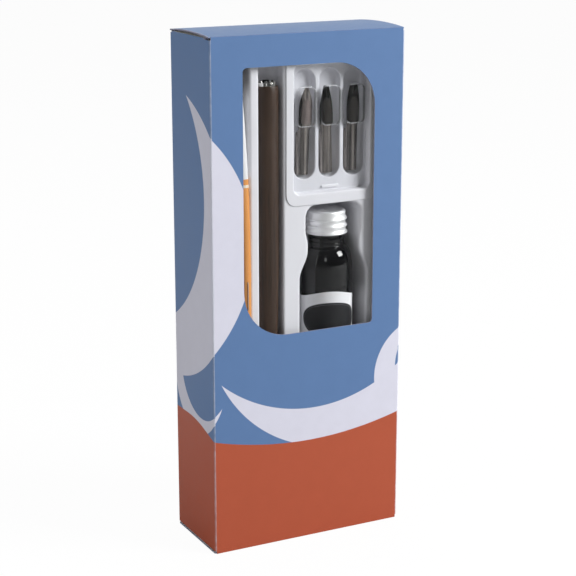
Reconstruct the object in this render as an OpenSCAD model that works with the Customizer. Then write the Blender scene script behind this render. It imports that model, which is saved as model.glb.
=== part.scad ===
/* [Carton] */
// Width of the carton, side to side
carton_w = 90; // [88:1:110]
// Depth of the carton, front to back
carton_d = 39; // [38:1:50]
// Height of the front panel
carton_h = 220; // [212:1:260]
// Thickness of the folded board
board_t = 0.6; // [0.4:0.1:0.8]
// How far the lid panel bows up in its middle
lid_bow = 0.9; // [0.6:0.1:2]
// Length of the lid's tuck tab
tab_len = 9; // [7:0.5:10]
// Angle by which the tuck tab leans inwards, in degrees
tab_tilt = 10; // [9:0.5:13]
// How far each top dust flap reaches in
dust_flap_len = 30; // [20:1:34]
// Width of the glue flap behind the back panel
glue_flap_w = 12; // [8:1:14]

/* [Window] */
// Margin between the carton's left edge and the window
window_left = 14.5; // [12:0.5:16]
// Margin between the front panel's top edge and the window
window_top = 13; // [11:0.5:16]
// Width of the window
window_w = 61.5; // [56:0.5:66]
// Height of the window
window_h = 113.5; // [90:0.5:120]
// Radius of the window's upper right corner
window_top_r = 18.3; // [10:0.1:24]
// Radius of the sweep at the window's lower left corner
window_sweep_r = 20.5; // [10:0.5:28]
// Radius of the window's two small corners
window_small_r = 1.8; // [1:0.1:4]
// Thickness of the clear film
film_t = 0.2; // [0.1:0.05:0.3]
// How far the film reaches past the window on each side
film_lap = 6; // [4:0.5:9]

/* [Tray] */
// Thickness of the tray's sheet
tray_t = 0.6; // [0.4:0.1:0.8]
// How far the tray's face lies behind the carton's front
tray_set_back = 3.5; // [3.3:0.1:4.5]
// Width of the pocket between the carton's left side and the tray
side_pocket_w = 18.4; // [16:0.2:20]
// Room between the tray's base rim and the dust flaps over it
tray_headroom = 2.9; // [2:0.1:8]
// How far the tray's walls spread from its face to its base
tray_draft = 2.4; // [1:0.2:4]
// Width of the base rim beside the right wall and past the ends
rim_w = 2; // [1:0.2:3]
// Distance from the tray face's upper edge to the end of the pen holder's channel
channel_margin = 2.3; // [1.5:0.1:4]
// Free height in the channel over the pen holder
channel_headroom = 10.5; // [8:0.5:14]

/* [Pen holder] */
// Diameter of the wooden shaft
pen_d = 9.8; // [8:0.1:10.4]
// Length of the pen holder, ferrule included
pen_len = 175; // [150:1:184]
// Outer diameter of the ferrule
ferrule_d = 8; // [6.6:0.1:8.4]
// Length of the ferrule
ferrule_len = 18; // [10:0.5:30]
// How far the ferrule stands out of the shaft
ferrule_out = 1.4; // [0.8:0.1:4]
// Wall of the ferrule
ferrule_t = 0.35; // [0.25:0.05:0.5]
// How far the clamp's petals stand out of the ferrule
clamp_out = 1.6; // [0.4:0.1:2]
// Diameter of the shaft's rounded tail
pen_tail_d = 5.5; // [4:0.1:7]
// Distance from the tray face's left edge to the pen's axis
pen_inset = 10; // [9:0.2:11]
// How far the pen's front stands proud of the tray's face
pen_proud = 0.75; // [0.2:0.05:1.4]

/* [Ink bottle] */
// Diameter of the bottle's body
bottle_d = 22.7; // [19:0.1:25]
// Height of the bottle from its base to its lip
bottle_h = 60.4; // [50:0.2:66]
// Diameter of the bottle's mouth
mouth_d = 9.4; // [7:0.2:10.4]
// Outer diameter of the neck's thread
thread_d = 15.8; // [13:0.1:16.4]
// Wall of the bottle
glass_t = 1.7; // [1:0.1:2.4]
// Height of the round shoulder
shoulder_h = 9.5; // [6:0.5:12]
// Height of the neck under the cap
neck_h = 5.6; // [5:0.2:8]
// Distance from the pen's axis to the bottle's axis
bottle_inset = 30.9; // [30:0.1:32]
// How far the bottle's front stands proud of the tray's face
bottle_proud = 2.2; // [1:0.1:2.3]
// Height of the label in its middle
label_h = 24; // [16:0.5:28]
// How far the label's arched top falls towards its sides
label_arch = 5.5; // [2:0.5:7]
// Distance from the bottle's base to the label
label_rise = 4; // [2:0.5:6]
// Angle that the label covers on each side of its middle
label_half_angle = 100; // [50:1:110]
// Angle by which the bottle is turned in its cavity, to the left
label_turn = 16; // [0:1:30]

/* [Bottle cavity] */
// Room beside the bottle's body, both sides together
cavity_body_room = 9.3; // [7:0.1:12]
// Room beside the cap, both sides together
cavity_cap_room = 8; // [6:0.1:9]
// How far the cavity's middle lies left of the bottle's axis
cavity_shift = 1.2; // [0:0.1:2]
// Radius of the cavity's corners
cavity_corner_r = 5; // [3:0.5:6]
// Radius of the bulges that narrow the cavity between body and cap
waist_r = 5; // [4:0.5:6]
// Room between the cap, fully unscrewed, and the cavity's end
cap_headroom = 0.8; // [0.5:0.1:3]

/* [Screw cap] */
// Outer diameter of the cap
cap_d = 18.4; // [17.6:0.1:19.4]
// Height of the cap
cap_h = 10.2; // [9:0.1:14]
// Wall of the cap
cap_t = 0.6; // [0.3:0.05:0.8]
// Thickness of the cap's liner
liner_t = 1; // [0.6:0.1:1.6]
// Radius of the beads rolled into the cap's side
cap_bead_r = 0.45; // [0.3:0.05:0.6]
// Thread pitch, which the cap rises in one turn
thread_pitch = 3.2; // [2:0.1:3.2]

/* [Nib tray] */
// Width of the flange round the pan
nib_lip = 3.3; // [2.5:0.1:3.6]
// Height of the flange under the pan
nib_lip_low = 4.6; // [3:0.1:5]
// Gap between the pen holder's channel and the flange
nib_tray_gap = 1.1; // [0.5:0.1:2]
// Distance from the tray face's upper edge to the flange
nib_tray_margin = 2.4; // [1.5:0.1:4]
// Radius of the flange's corners
flange_corner_r = 5; // [3:0.5:7]
// Thickness of the nib tray's sheet
nib_tray_t = 0.5; // [0.3:0.05:0.7]
// Depth of the pan
pan_depth = 2.9; // [2.7:0.1:4]
// Width of each pocket
pocket_w = 9.8; // [9:0.1:10.2]
// Distance between two pockets, and from the outer ones to the pan's walls
pocket_gap = 1.9; // [1.5:0.1:2.3]
// Room in each pocket beyond the nib's length
pocket_spare = 9; // [7:0.5:11]
// Distance from the pan's lower end to the pockets
pocket_margin_low = 6.3; // [4:0.1:8]
// Distance from the pockets to the pan's upper end
pocket_margin_high = 2.6; // [2:0.1:4]
// Depth of each pocket behind the pan
pocket_depth = 3.6; // [3.5:0.1:5]
// Thickness of the clear cover
cover_t = 0.3; // [0.2:0.05:0.4]
// Height of the cover's bumps
bump_h = 2.3; // [2:0.1:2.4]
// Length of each bump beyond the blade under it
bump_spare = 5; // [3:0.5:8]

/* [Nibs] */
// Length of a nib
nib_len = 37; // [32:0.5:40]
// Outer radius of a nib's half-tube shank
nib_r = 3.1; // [2.7:0.1:3.3]
// Thickness of a nib's sheet
nib_t = 0.35; // [0.25:0.05:0.5]
// Width of the widest nib's broad edge
nib_edge_w = 3.3; // [2:0.1:4]
// Length of a nib's blade, from its broad edge to its full width
blade_len = 12; // [9:0.5:15]
// Length of the reservoir on a nib's blade
reservoir_len = 10; // [6:0.5:11]
// Thickness of a reservoir's sheet
reservoir_t = 0.25; // [0.2:0.05:0.4]

/* [Booklet] */
// Thickness of the booklet
booklet_t = 3.8; // [2:0.1:4.4]
// Room over the booklet, under the dust flaps
booklet_headroom = 22; // [10:1:50]
// Width of the booklet
booklet_w = 34; // [25:0.5:34.6]
// How far the booklet's top leans away from the tray
booklet_lean = 3.5; // [1:0.1:6]
// Thickness of its cover
booklet_cover_t = 0.3; // [0.2:0.05:0.4]

/* [Hidden] */
$fn = 96;
// Play between pieces that lie face to face or in each other
play = 0.1;
// Gap at a seat with a round face
seat = 0.3;
// Extra length by which a cut passes the face it opens
over = 1;

// Planes of the carton
front_y = -carton_d / 2;
back_y = carton_d / 2;
left_x = -carton_w / 2;
right_x = carton_w / 2;
inner_front_y = front_y + board_t;
inner_back_y = back_y - board_t;
inner_left_x = left_x + board_t;
inner_right_x = right_x - board_t;
floor_z = 3 * board_t;
lid_under_z = carton_h - board_t;
flap_top_z = lid_under_z - play;
flap_under_z = flap_top_z - board_t;

// Lid, whose bowed section is an arc through its hinge and its front crease
lid_depth = carton_d - board_t - play;
lid_front_y = inner_front_y + play;
lid_arc_r = (lid_depth * lid_depth / 4 + lid_bow * lid_bow) / (2 * lid_bow);
lid_mid_y = (lid_front_y + back_y) / 2;

// Window
window_x0 = left_x + window_left;
window_x1 = window_x0 + window_w;
window_z1 = carton_h - window_top;
window_z0 = window_z1 - window_h;

// Tray
face_y = front_y + tray_set_back;
tray_back_y = inner_back_y - board_t - play;
tray_x0 = inner_left_x + side_pocket_w;
tray_x1 = inner_right_x - play - rim_w - tray_draft;
tray_top_z = flap_under_z - tray_headroom;
face_top_z = tray_top_z - rim_w - tray_draft / 2;
face_bottom_z = floor_z + rim_w + tray_draft / 2;

// Pen holder and its channel
pen_r = pen_d / 2;
pen_x = tray_x0 + pen_inset;
pen_y = face_y - pen_proud + pen_r;
channel_r = pen_r + 2 * seat;
channel_y = pen_y - seat;
channel_z1 = face_top_z - channel_margin;
pen_top_z = channel_z1 - channel_headroom;
pen_base_z = pen_top_z - pen_len;
shaft_top_z = pen_top_z - ferrule_out;
ferrule_r = ferrule_d / 2;
ferrule_base_z = pen_top_z - ferrule_len;
ferrule_bottom_t = 0.5;
channel_z0 = pen_base_z - seat;

// Nib tray, laid on the tray's face
pocket_pitch = pocket_w + pocket_gap;
pocket_r = pocket_w / 2;
pocket_len = nib_len + pocket_spare;
pan_w = 3 * pocket_w + 4 * pocket_gap;
pan_h = pocket_margin_low + pocket_len + pocket_margin_high;
nib_flange_x0 = pen_x + channel_r + nib_tray_gap;
nib_flange_x1 = nib_flange_x0 + pan_w + 2 * nib_lip;
nib_flange_z1 = face_top_z - nib_tray_margin;
nib_flange_z0 = nib_flange_z1 - nib_lip - pan_h - nib_lip_low;
nib_mid_x = (nib_flange_x0 + nib_flange_x1) / 2;
pan_z0 = nib_flange_z0 + nib_lip_low;
pan_z1 = pan_z0 + pan_h;
pan_y = face_y - nib_tray_t + pan_depth;
pocket_z0 = pan_z0 + pocket_margin_low;
pocket_floor_y = pan_y + pocket_depth;
recess_y = pocket_floor_y + nib_tray_t + play;

// Nibs, their shanks in the pockets' round ends
nib_z0 = pocket_z0 + pocket_r - sqrt(pow(pocket_r, 2) - pow(nib_r + seat, 2)) + seat;
nib_back_y = pocket_floor_y - play;
nib_shank_len = nib_len - blade_len - 6;
// Lean of each nib in its pocket, in degrees, left to right
nib_lean = [2.2, -2, 0.5];

// Clear cover on the pan's floor, with its bumps over the nibs' blades
bump_w = pocket_w - 0.8;
bump_len = blade_len + bump_spare;
bump_z0 = nib_z0 + nib_len + seat - bump_len;
bump_y = pan_y - cover_t - bump_h;

// Ink bottle and its cavity
bottle_r = bottle_d / 2;
bottle_x = pen_x + bottle_inset;
bottle_y = face_y - bottle_proud + bottle_r;
cavity_top_z = nib_flange_z0 - seat;
cap_top_z = cavity_top_z - thread_pitch - cap_headroom;
bottle_z = cap_top_z - cap_t - liner_t - bottle_h;
cap_r = cap_d / 2;
cap_base_z = cap_top_z - cap_h;
lip_z = bottle_z + bottle_h;
thread_r = thread_d / 2;
neck_r = thread_r - 0.9;
shoulder_top_z = cap_base_z - neck_h;
shoulder_base_z = shoulder_top_z - shoulder_h;
cavity_x = bottle_x - cavity_shift;
cavity_body_w = bottle_d + cavity_body_room;
cavity_cap_w = cap_d + cavity_cap_room;
cavity_back_y = bottle_y + bottle_r + seat;

// Booklet, standing in the side pocket against the tray
booklet_x1 = tray_x0 - play;
booklet_y0 = inner_front_y + film_t + 7 * play;
booklet_z1 = flap_under_z - booklet_headroom;
booklet_bend_z = 0.6 * booklet_z1;

// Plate between two corners
module plate(x0, x1, y0, y1, z0, z1) {
    translate([x0, y0, z0])
        cube([x1 - x0, y1 - y0, z1 - z0]);
}

// Turns a flat outline drawn in width and height to stand, from y0 back to y1
module upright(y0, y1) {
    translate([0, y1, 0])
        rotate([90, 0, 0])
            linear_extrude(y1 - y0)
                children();
}

// Turns a flat outline drawn in depth and height to run along x, from x0 to x1
module sideways(x0, x1) {
    translate([x0, 0, 0])
        rotate([90, 0, 90])
            linear_extrude(x1 - x0)
                children();
}

// Rectangle between two corners with one radius at all of them
module round_rect(x0, x1, z0, z1, r) {
    translate([x0 + r, z0])
        square([x1 - x0 - 2 * r, z1 - z0]);
    translate([x0, z0 + r])
        square([x1 - x0, z1 - z0 - 2 * r]);
    for (x = [x0 + r, x1 - r], z = [z0 + r, z1 - r])
        translate([x, z])
            circle(r);
}

// Quarter-round corner: what a square corner at (x, z) loses; sx and sz point into the shape
module corner_loss(x, z, sx, sz, r) {
    difference() {
        translate([min(x, x + sx * r) - (sx > 0 ? over : 0), min(z, z + sz * r) - (sz > 0 ? over : 0)])
            square(r + over);
        translate([x + sx * r, z + sz * r])
            circle(r);
    }
}

module window_outline() {
    difference() {
        translate([window_x0, window_z0])
            square([window_w, window_h]);
        corner_loss(window_x1, window_z1, -1, -1, window_top_r);
        corner_loss(window_x0, window_z0, 1, 1, window_sweep_r);
        corner_loss(window_x0, window_z1, 1, -1, window_small_r);
        corner_loss(window_x1, window_z0, -1, 1, window_small_r);
    }
}

module front_panel() {
    color("cornflowerblue")
        difference() {
            plate(left_x, right_x, front_y, inner_front_y, 0, carton_h);
            upright(front_y - over, inner_front_y + over)
                window_outline();
        }
}

module back_panel() {
    color("cornflowerblue")
        plate(left_x, right_x, inner_back_y, back_y, board_t, lid_under_z);
}

module side_panel(x0) {
    color("steelblue")
        plate(x0, x0 + board_t, inner_front_y, inner_back_y, 2 * board_t, flap_under_z);
}

module left_side_panel() {
    side_panel(left_x);
}

module right_side_panel() {
    side_panel(inner_right_x);
}

module glue_flap() {
    bevel = 4;
    color("white")
        upright(inner_back_y - board_t, inner_back_y)
            polygon([
                [inner_left_x, floor_z + play],
                [inner_left_x + glue_flap_w, floor_z + play + bevel],
                [inner_left_x + glue_flap_w, flap_under_z - play - bevel],
                [inner_left_x, flap_under_z - play]
            ]);
}

module bottom_outer_flap() {
    color("indianred")
        plate(left_x, right_x, inner_front_y, back_y - 0.5, 0, board_t);
}

module bottom_inner_flap() {
    color("white")
        plate(inner_left_x, inner_right_x, inner_front_y + 6, inner_back_y, board_t, 2 * board_t);
}

// Flap of one side panel; side is -1 on the left and 1 on the right
module bottom_dust_flap(side) {
    reach = 0.36 * carton_w;
    taper = 3;
    color("white")
        translate([0, 0, 2 * board_t])
            linear_extrude(board_t)
                polygon([
                    [side * (right_x - board_t), inner_front_y + play],
                    [side * (right_x - reach), inner_front_y + play + taper],
                    [side * (right_x - reach), inner_back_y - board_t - play - taper],
                    [side * (right_x - board_t), inner_back_y - board_t - play]
                ]);
}

module bottom_dust_flap_left() {
    bottom_dust_flap(-1);
}

module bottom_dust_flap_right() {
    bottom_dust_flap(1);
}

module window_film() {
    color("lightcyan", 0.3)
        upright(inner_front_y, inner_front_y + film_t)
            round_rect(window_x0 - film_lap, window_x1 + film_lap,
                window_z0 - film_lap, window_z1 + min(film_lap, window_top - tab_len - 2), 2);
}

module lid_panel() {
    arc_z = lid_under_z + lid_bow - lid_arc_r;
    color("lightsteelblue")
        sideways(left_x, right_x)
            intersection() {
                difference() {
                    translate([lid_mid_y, arc_z])
                        circle(lid_arc_r + board_t, $fn = 360);
                    translate([lid_mid_y, arc_z])
                        circle(lid_arc_r, $fn = 360);
                }
                translate([lid_front_y, lid_under_z])
                    square([lid_depth, 2 * lid_bow + board_t]);
            }
}

module lid_tuck_tab() {
    shoulder = 1.5;
    tip_r = 4;
    side_gap = 0.6;
    half_w = inner_right_x - side_gap;
    color("lightsteelblue")
        translate([0, lid_front_y, lid_under_z])
            rotate([tab_tilt, 0, 0])
                upright(0, board_t)
                    difference() {
                        translate([-half_w, -tab_len])
                            square([2 * half_w, tab_len - 1.5 * play]);
                        for (side = [-1, 1])
                            corner_loss(side * half_w, -tab_len, -side, 1, tip_r);
                        for (side = [-1, 1])
                            translate([side * (half_w - shoulder / 2), 0])
                                square([shoulder + play, shoulder], center = true);
                    }
}

// Flap of one side panel under the lid, cut away towards the lid's hinge so that it can follow it
module top_dust_flap(side) {
    notch = tab_len * sin(tab_tilt) + 2 * board_t + 0.8;
    front = lid_front_y + notch;
    back = inner_back_y - 2 * play;
    tip_x = right_x - dust_flap_len;
    front_taper = 2;
    back_taper = 0.56 * dust_flap_len;
    color("white")
        translate([0, 0, flap_under_z])
            linear_extrude(board_t)
                polygon([
                    [side * right_x, front],
                    [side * tip_x, front + front_taper],
                    [side * tip_x, back - back_taper],
                    [side * right_x, back]
                ]);
}

module top_dust_flap_left() {
    top_dust_flap(-1);
}

module top_dust_flap_right() {
    top_dust_flap(1);
}

// Hollow box form of the tray, drawn in by an inset; its walls spread towards the base
module tray_form(inset, back) {
    spread = tray_draft * (back - face_y) / (tray_back_y - face_y);
    intersection() {
        linear_extrude(carton_h)
            polygon([
                [tray_x0 + inset, face_y + inset],
                [tray_x1 - inset, face_y + inset],
                [tray_x1 + spread - inset, back],
                [tray_x0 + inset, back]
            ]);
        sideways(left_x, right_x)
            polygon([
                [face_y + inset, face_bottom_z + inset],
                [back, face_bottom_z - spread / 2 + inset],
                [back, face_top_z + spread / 2 - inset],
                [face_y + inset, face_top_z - inset]
            ]);
    }
}

// Channel that the pen holder lies in, drawn out by a sheet's thickness for its back
module channel_form(grow) {
    translate([pen_x, channel_y, channel_z0 - grow])
        cylinder(r = channel_r + grow, h = channel_z1 - channel_z0 + 2 * grow);
    plate(pen_x - channel_r - grow, pen_x + channel_r + grow, face_y - over, channel_y,
        channel_z0 - grow, channel_z1 + grow);
}

// Cavity that follows the bottle's outline: a wide body below and a narrow place for the cap
module cavity_outline(grow) {
    body_half = cavity_body_w / 2 + grow;
    cap_half = cavity_cap_w / 2 + grow;
    corner = cavity_corner_r + grow;
    waist_z = shoulder_top_z + 1.5;
    difference() {
        union() {
            round_rect(cavity_x - cap_half, cavity_x + cap_half, shoulder_base_z,
                cavity_top_z + grow, corner);
            round_rect(cavity_x - body_half, cavity_x + body_half, bottle_z - grow,
                shoulder_top_z - 4 + grow, corner);
            translate([cavity_x - body_half, bottle_z - grow])
                square([2 * body_half, shoulder_base_z - bottle_z]);
        }
        for (side = [-1, 1])
            translate([cavity_x + side * (cap_half + waist_r - 1), waist_z])
                circle(waist_r);
    }
}

module cavity_form(grow) {
    upright(face_y - over, cavity_back_y + grow)
        cavity_outline(grow);
}

// Recess under the nib tray
module recess_form(grow) {
    upright(face_y - over, recess_y + grow)
        round_rect(nib_mid_x - pan_w / 2 - seat - grow, nib_mid_x + pan_w / 2 + seat + grow,
            pan_z0 - seat - grow, pan_z1 + seat + grow, 3.3 + grow);
}

module tray() {
    color("whitesmoke")
        difference() {
            union() {
                tray_form(0, tray_back_y);
                plate(inner_left_x + play, inner_right_x - play, tray_back_y - tray_t, tray_back_y,
                    floor_z, tray_top_z);
            }
            difference() {
                tray_form(tray_t, tray_back_y + over);
                channel_form(tray_t);
                cavity_form(tray_t);
                recess_form(tray_t);
            }
            channel_form(0);
            cavity_form(0);
            recess_form(0);
        }
}

// Stadium outline of one pocket, centred on x
module pocket_outline(x, grow) {
    round_rect(x - pocket_w / 2 - grow, x + pocket_w / 2 + grow,
        pocket_z0 - grow, pocket_z0 + pocket_len + grow, pocket_r + grow - 0.01);
}

module nib_tray() {
    color("white")
        difference() {
            union() {
                upright(face_y - nib_tray_t, face_y)
                    round_rect(nib_flange_x0, nib_flange_x1, nib_flange_z0, nib_flange_z1,
                        flange_corner_r);
                upright(face_y - nib_tray_t, pan_y + nib_tray_t)
                    round_rect(nib_mid_x - pan_w / 2, nib_mid_x + pan_w / 2, pan_z0, pan_z1, 3);
                for (i = [-1, 0, 1])
                    upright(pan_y, pocket_floor_y + nib_tray_t)
                        pocket_outline(nib_mid_x + i * pocket_pitch, nib_tray_t);
            }
            upright(face_y - nib_tray_t - over, pan_y)
                round_rect(nib_mid_x - pan_w / 2 + nib_tray_t, nib_mid_x + pan_w / 2 - nib_tray_t,
                    pan_z0 + nib_tray_t, pan_z1 - nib_tray_t, 3 - nib_tray_t);
            for (i = [-1, 0, 1])
                upright(pan_y - over, pocket_floor_y)
                    pocket_outline(nib_mid_x + i * pocket_pitch, 0);
        }
}

// Outline of one bump of the clear cover
module bump_outline(x, grow) {
    round_rect(x - bump_w / 2 - grow, x + bump_w / 2 + grow,
        bump_z0 - grow, bump_z0 + bump_len + grow, 2.6 + grow);
}

module nib_cover() {
    edge = nib_tray_t + play;
    color("white", 0.3)
        difference() {
            union() {
                upright(pan_y - cover_t, pan_y)
                    round_rect(nib_mid_x - pan_w / 2 + edge, nib_mid_x + pan_w / 2 - edge,
                        pan_z0 + edge, pan_z1 - edge, 2.2);
                for (i = [-1, 0, 1])
                    upright(bump_y, pan_y)
                        bump_outline(nib_mid_x + i * pocket_pitch, 0);
            }
            for (i = [-1, 0, 1])
                upright(bump_y + cover_t, pan_y + over)
                    bump_outline(nib_mid_x + i * pocket_pitch, -cover_t);
        }
}

// Half-tube wall of a given radius, its axis upright in the plane of the shank's edges
module half_tube(r, t, z0, z1) {
    difference() {
        translate([0, 0, z0])
            cylinder(r = r, h = z1 - z0);
        translate([0, 0, z0 - over])
            cylinder(r = r - t, h = z1 - z0 + 2 * over);
        plate(-2 * r, 2 * r, 0, 2 * r, z0 - over, z1 + over);
    }
}

// Outline of shank and blade, whose sides curve in from full width to the broad edge
module blade_outline(edge_w) {
    narrowing = nib_r - edge_w / 2;
    side = [for (a = [0:15:90]) [edge_w / 2 + narrowing * sin(a), nib_len - blade_len * a / 90]];
    polygon(concat(
        [[nib_r, 0]],
        [for (i = [len(side) - 1:-1:0]) side[i]],
        [for (p = side) [-p[0], p[1]]],
        [[-nib_r, 0]]
    ));
}

// One nib: half-tube shank, waist cut at each side, tapered blade, breather hole and slit
module nib(edge_w) {
    slit_w = 0.2;
    hole_r = 0.6;
    hole_z = nib_len - 0.8 * blade_len;
    waist_cut_r = 1.2;
    difference() {
        intersection() {
            half_tube(nib_r, nib_t, 0, nib_len);
            upright(-nib_r - over, over)
                blade_outline(edge_w);
        }
        for (side = [-1, 1])
            translate([side * nib_r, over, nib_shank_len])
                rotate([90, 0, 0])
                    cylinder(r = waist_cut_r, h = nib_r / 2 + over);
        translate([0, over, hole_z])
            rotate([90, 0, 0])
                cylinder(r = hole_r, h = nib_r + 2 * over);
        plate(-slit_w / 2, slit_w / 2, -nib_r - over, over, hole_z, nib_len + over);
    }
}

// Places a nib or its reservoir in pocket i, leaning by a few degrees as it lies
module in_pocket(i, lean) {
    translate([nib_mid_x + i * pocket_pitch, nib_back_y, nib_z0])
        rotate([0, lean, 0])
            children();
}

// Ink reservoir: a narrow curved tongue lying over the front of the blade
module reservoir() {
    z0 = nib_shank_len + 2.5;
    half_w = 2.2;
    tip_half_w = 1.4;
    r = nib_r + play + reservoir_t;
    intersection() {
        half_tube(r, reservoir_t, z0, z0 + reservoir_len);
        upright(-r - over, over)
            polygon([
                [-half_w, z0], [half_w, z0], [half_w, z0 + 0.6 * reservoir_len],
                [tip_half_w, z0 + reservoir_len], [-tip_half_w, z0 + reservoir_len],
                [-half_w, z0 + 0.6 * reservoir_len]
            ]);
    }
}

module nib_narrow() {
    color("dimgray")
        in_pocket(-1, nib_lean[0])
            nib(nib_edge_w / 3);
}

module nib_medium() {
    color("dimgray")
        in_pocket(0, nib_lean[1])
            nib(nib_edge_w * 2 / 3);
}

module nib_wide() {
    color("dimgray")
        in_pocket(1, nib_lean[2])
            nib(nib_edge_w);
}

module nib_reservoir_narrow() {
    color("saddlebrown")
        in_pocket(-1, nib_lean[0])
            reservoir();
}

module nib_reservoir_medium() {
    color("saddlebrown")
        in_pocket(0, nib_lean[1])
            reservoir();
}

module nib_reservoir_wide() {
    color("saddlebrown")
        in_pocket(1, nib_lean[2])
            reservoir();
}

// Half outline of the shaft: round tail, long taper, straight grip and a drawn-in shoulder
function shaft_outline() =
    let (
        tail_r = pen_tail_d / 2,
        length = shaft_top_z - pen_base_z,
        taper_len = 0.55 * length,
        shoulder = 3.2,
        top_r = ferrule_r + 0.45
    )
    concat(
        [[0, 0]],
        [for (a = [15:15:90]) [tail_r * sin(a), tail_r * (1 - cos(a))]],
        [[pen_r, taper_len]],
        [for (a = [0:15:90])
            [pen_r - (pen_r - top_r) * (1 - cos(a)), length - shoulder + shoulder * sin(a)]],
        [[0, length]]
    );

module pen_shaft() {
    color("#3b2a20")
        difference() {
            translate([pen_x, pen_y, pen_base_z])
                rotate_extrude()
                    polygon(shaft_outline());
            translate([pen_x, pen_y, ferrule_base_z])
                cylinder(r = ferrule_r + play / 2, h = ferrule_len + over);
        }
}

module pen_ferrule() {
    color("silver")
        translate([pen_x, pen_y, ferrule_base_z])
            difference() {
                cylinder(r = ferrule_r, h = ferrule_len);
                translate([0, 0, ferrule_bottom_t])
                    cylinder(r = ferrule_r - ferrule_t, h = ferrule_len);
            }
}

// Sprung petals inside the ferrule that grip a nib's shank against its wall
module nib_clamp() {
    plug_r = ferrule_r - ferrule_t - play / 2;
    petal_r = plug_r - 0.6;
    petal_t = 0.35;
    foot_h = 2;
    slot_w = 1;
    length = ferrule_len - ferrule_bottom_t + clamp_out;
    color("dimgray")
        translate([pen_x, pen_y, ferrule_base_z + ferrule_bottom_t])
            difference() {
                union() {
                    cylinder(r = plug_r, h = foot_h);
                    cylinder(r = petal_r, h = length);
                }
                translate([0, 0, foot_h])
                    cylinder(r = petal_r - petal_t, h = length);
                for (a = [30, 120])
                    rotate([0, 0, a])
                        plate(-plug_r, plug_r, -slot_w / 2, slot_w / 2, foot_h + slot_w, length + over);
            }
}

// Half outline of the bottle, drawn in by an inset for the space inside
function bottle_outline(inset) =
    let (
        foot_r = 1.6,
        body_top = shoulder_base_z - bottle_z,
        neck_bottom = shoulder_top_z - bottle_z,
        drop = bottle_r - neck_r - 1
    )
    concat(
        [[0, inset]],
        [for (a = [0:15:90])
            [bottle_r - inset - foot_r + foot_r * sin(a), inset + foot_r * (1 - cos(a))]],
        [for (a = [0:10:90])
            [bottle_r - inset - drop * (1 - cos(a)), body_top + shoulder_h * sin(a) * (1 - inset / 12)]],
        [[neck_r - inset * 0.6, neck_bottom + 0.6]]
    );

module bottle_glass() {
    mouth_r = mouth_d / 2;
    collar_z = shoulder_top_z + 2.6;
    collar_h = 1.4;
    thread_tube = 0.55;
    thread_drop = 2.4;
    color("#101114")
        translate([bottle_x, bottle_y, 0])
            difference() {
                union() {
                    translate([0, 0, bottle_z])
                        rotate_extrude()
                            polygon(concat(bottle_outline(0), [[0, lip_z - bottle_z - 1]]));
                    translate([0, 0, shoulder_top_z])
                        cylinder(r = neck_r, h = lip_z - shoulder_top_z);
                    translate([0, 0, collar_z])
                        cylinder(r = thread_r, h = collar_h);
                    for (z = [lip_z - thread_drop, lip_z - thread_drop - thread_pitch])
                        translate([0, 0, z])
                            rotate_extrude()
                                translate([thread_r - thread_tube, 0])
                                    circle(thread_tube, $fn = 24);
                }
                translate([0, 0, bottle_z])
                    rotate_extrude()
                        polygon(concat(bottle_outline(glass_t), [[0, shoulder_top_z - bottle_z + 0.6]]));
                translate([0, 0, shoulder_top_z - over])
                    cylinder(r = mouth_r, h = lip_z - shoulder_top_z + 2 * over);
            }
}

module ink() {
    gap = glass_t + play / 2;
    level_z = shoulder_base_z - 1;
    color("black")
        translate([bottle_x, bottle_y, bottle_z])
            intersection() {
                rotate_extrude()
                    polygon(concat(bottle_outline(gap), [[0, shoulder_top_z - bottle_z]]));
                cylinder(r = bottle_d, h = level_z - bottle_z);
            }
}

// Paper label wrapped round the body, with an arched top edge
module bottle_label() {
    paper_t = 0.12;
    inner_r = bottle_r + 0.04;
    base_z = bottle_z + label_rise;
    top_z = base_z + label_h;
    half_chord = 1.25 * inner_r;
    arch_r = (half_chord * half_chord + label_arch * label_arch) / (2 * label_arch);
    far = 3 * bottle_d;
    color("black")
        translate([bottle_x, bottle_y, 0])
            rotate([0, 0, -label_turn])
                difference() {
                    translate([0, 0, base_z])
                        cylinder(r = inner_r + paper_t, h = label_h);
                    translate([0, 0, base_z - over])
                        cylinder(r = inner_r, h = label_h + 2 * over);
                    linear_extrude(carton_h)
                        polygon([
                            [0, 0],
                            [far * sin(label_half_angle), -far * cos(label_half_angle)],
                            [far, far], [-far, far],
                            [-far * sin(label_half_angle), -far * cos(label_half_angle)]
                        ]);
                    upright(-bottle_d, bottle_d)
                        difference() {
                            translate([-bottle_d, top_z - label_arch])
                                square([2 * bottle_d, label_h]);
                            translate([0, top_z - arch_r])
                                circle(arch_r);
                        }
                }
}

module screw_cap() {
    edge_r = 0.9;
    skirt_r = cap_r - cap_bead_r;
    bead_pitch = 3;
    color("silver")
        translate([bottle_x, bottle_y, 0])
            difference() {
                union() {
                    translate([0, 0, cap_base_z])
                        cylinder(r = skirt_r, h = cap_h - edge_r);
                    translate([0, 0, cap_base_z])
                        cylinder(r = skirt_r - edge_r, h = cap_h);
                    translate([0, 0, cap_top_z - edge_r])
                        rotate_extrude()
                            translate([skirt_r - edge_r, 0])
                                circle(edge_r, $fn = 32);
                    for (i = [0, 1, 2])
                        translate([0, 0, cap_base_z + cap_bead_r + i * bead_pitch])
                            rotate_extrude()
                                translate([skirt_r, 0])
                                    circle(cap_bead_r, $fn = 24);
                }
                translate([0, 0, cap_base_z - over])
                    cylinder(r = skirt_r - cap_t, h = cap_h - cap_t + over);
            }
}

module cap_liner() {
    color("ivory")
        translate([bottle_x, bottle_y, lip_z])
            cylinder(r = cap_r - cap_bead_r - cap_t - play, h = liner_t);
}

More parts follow.
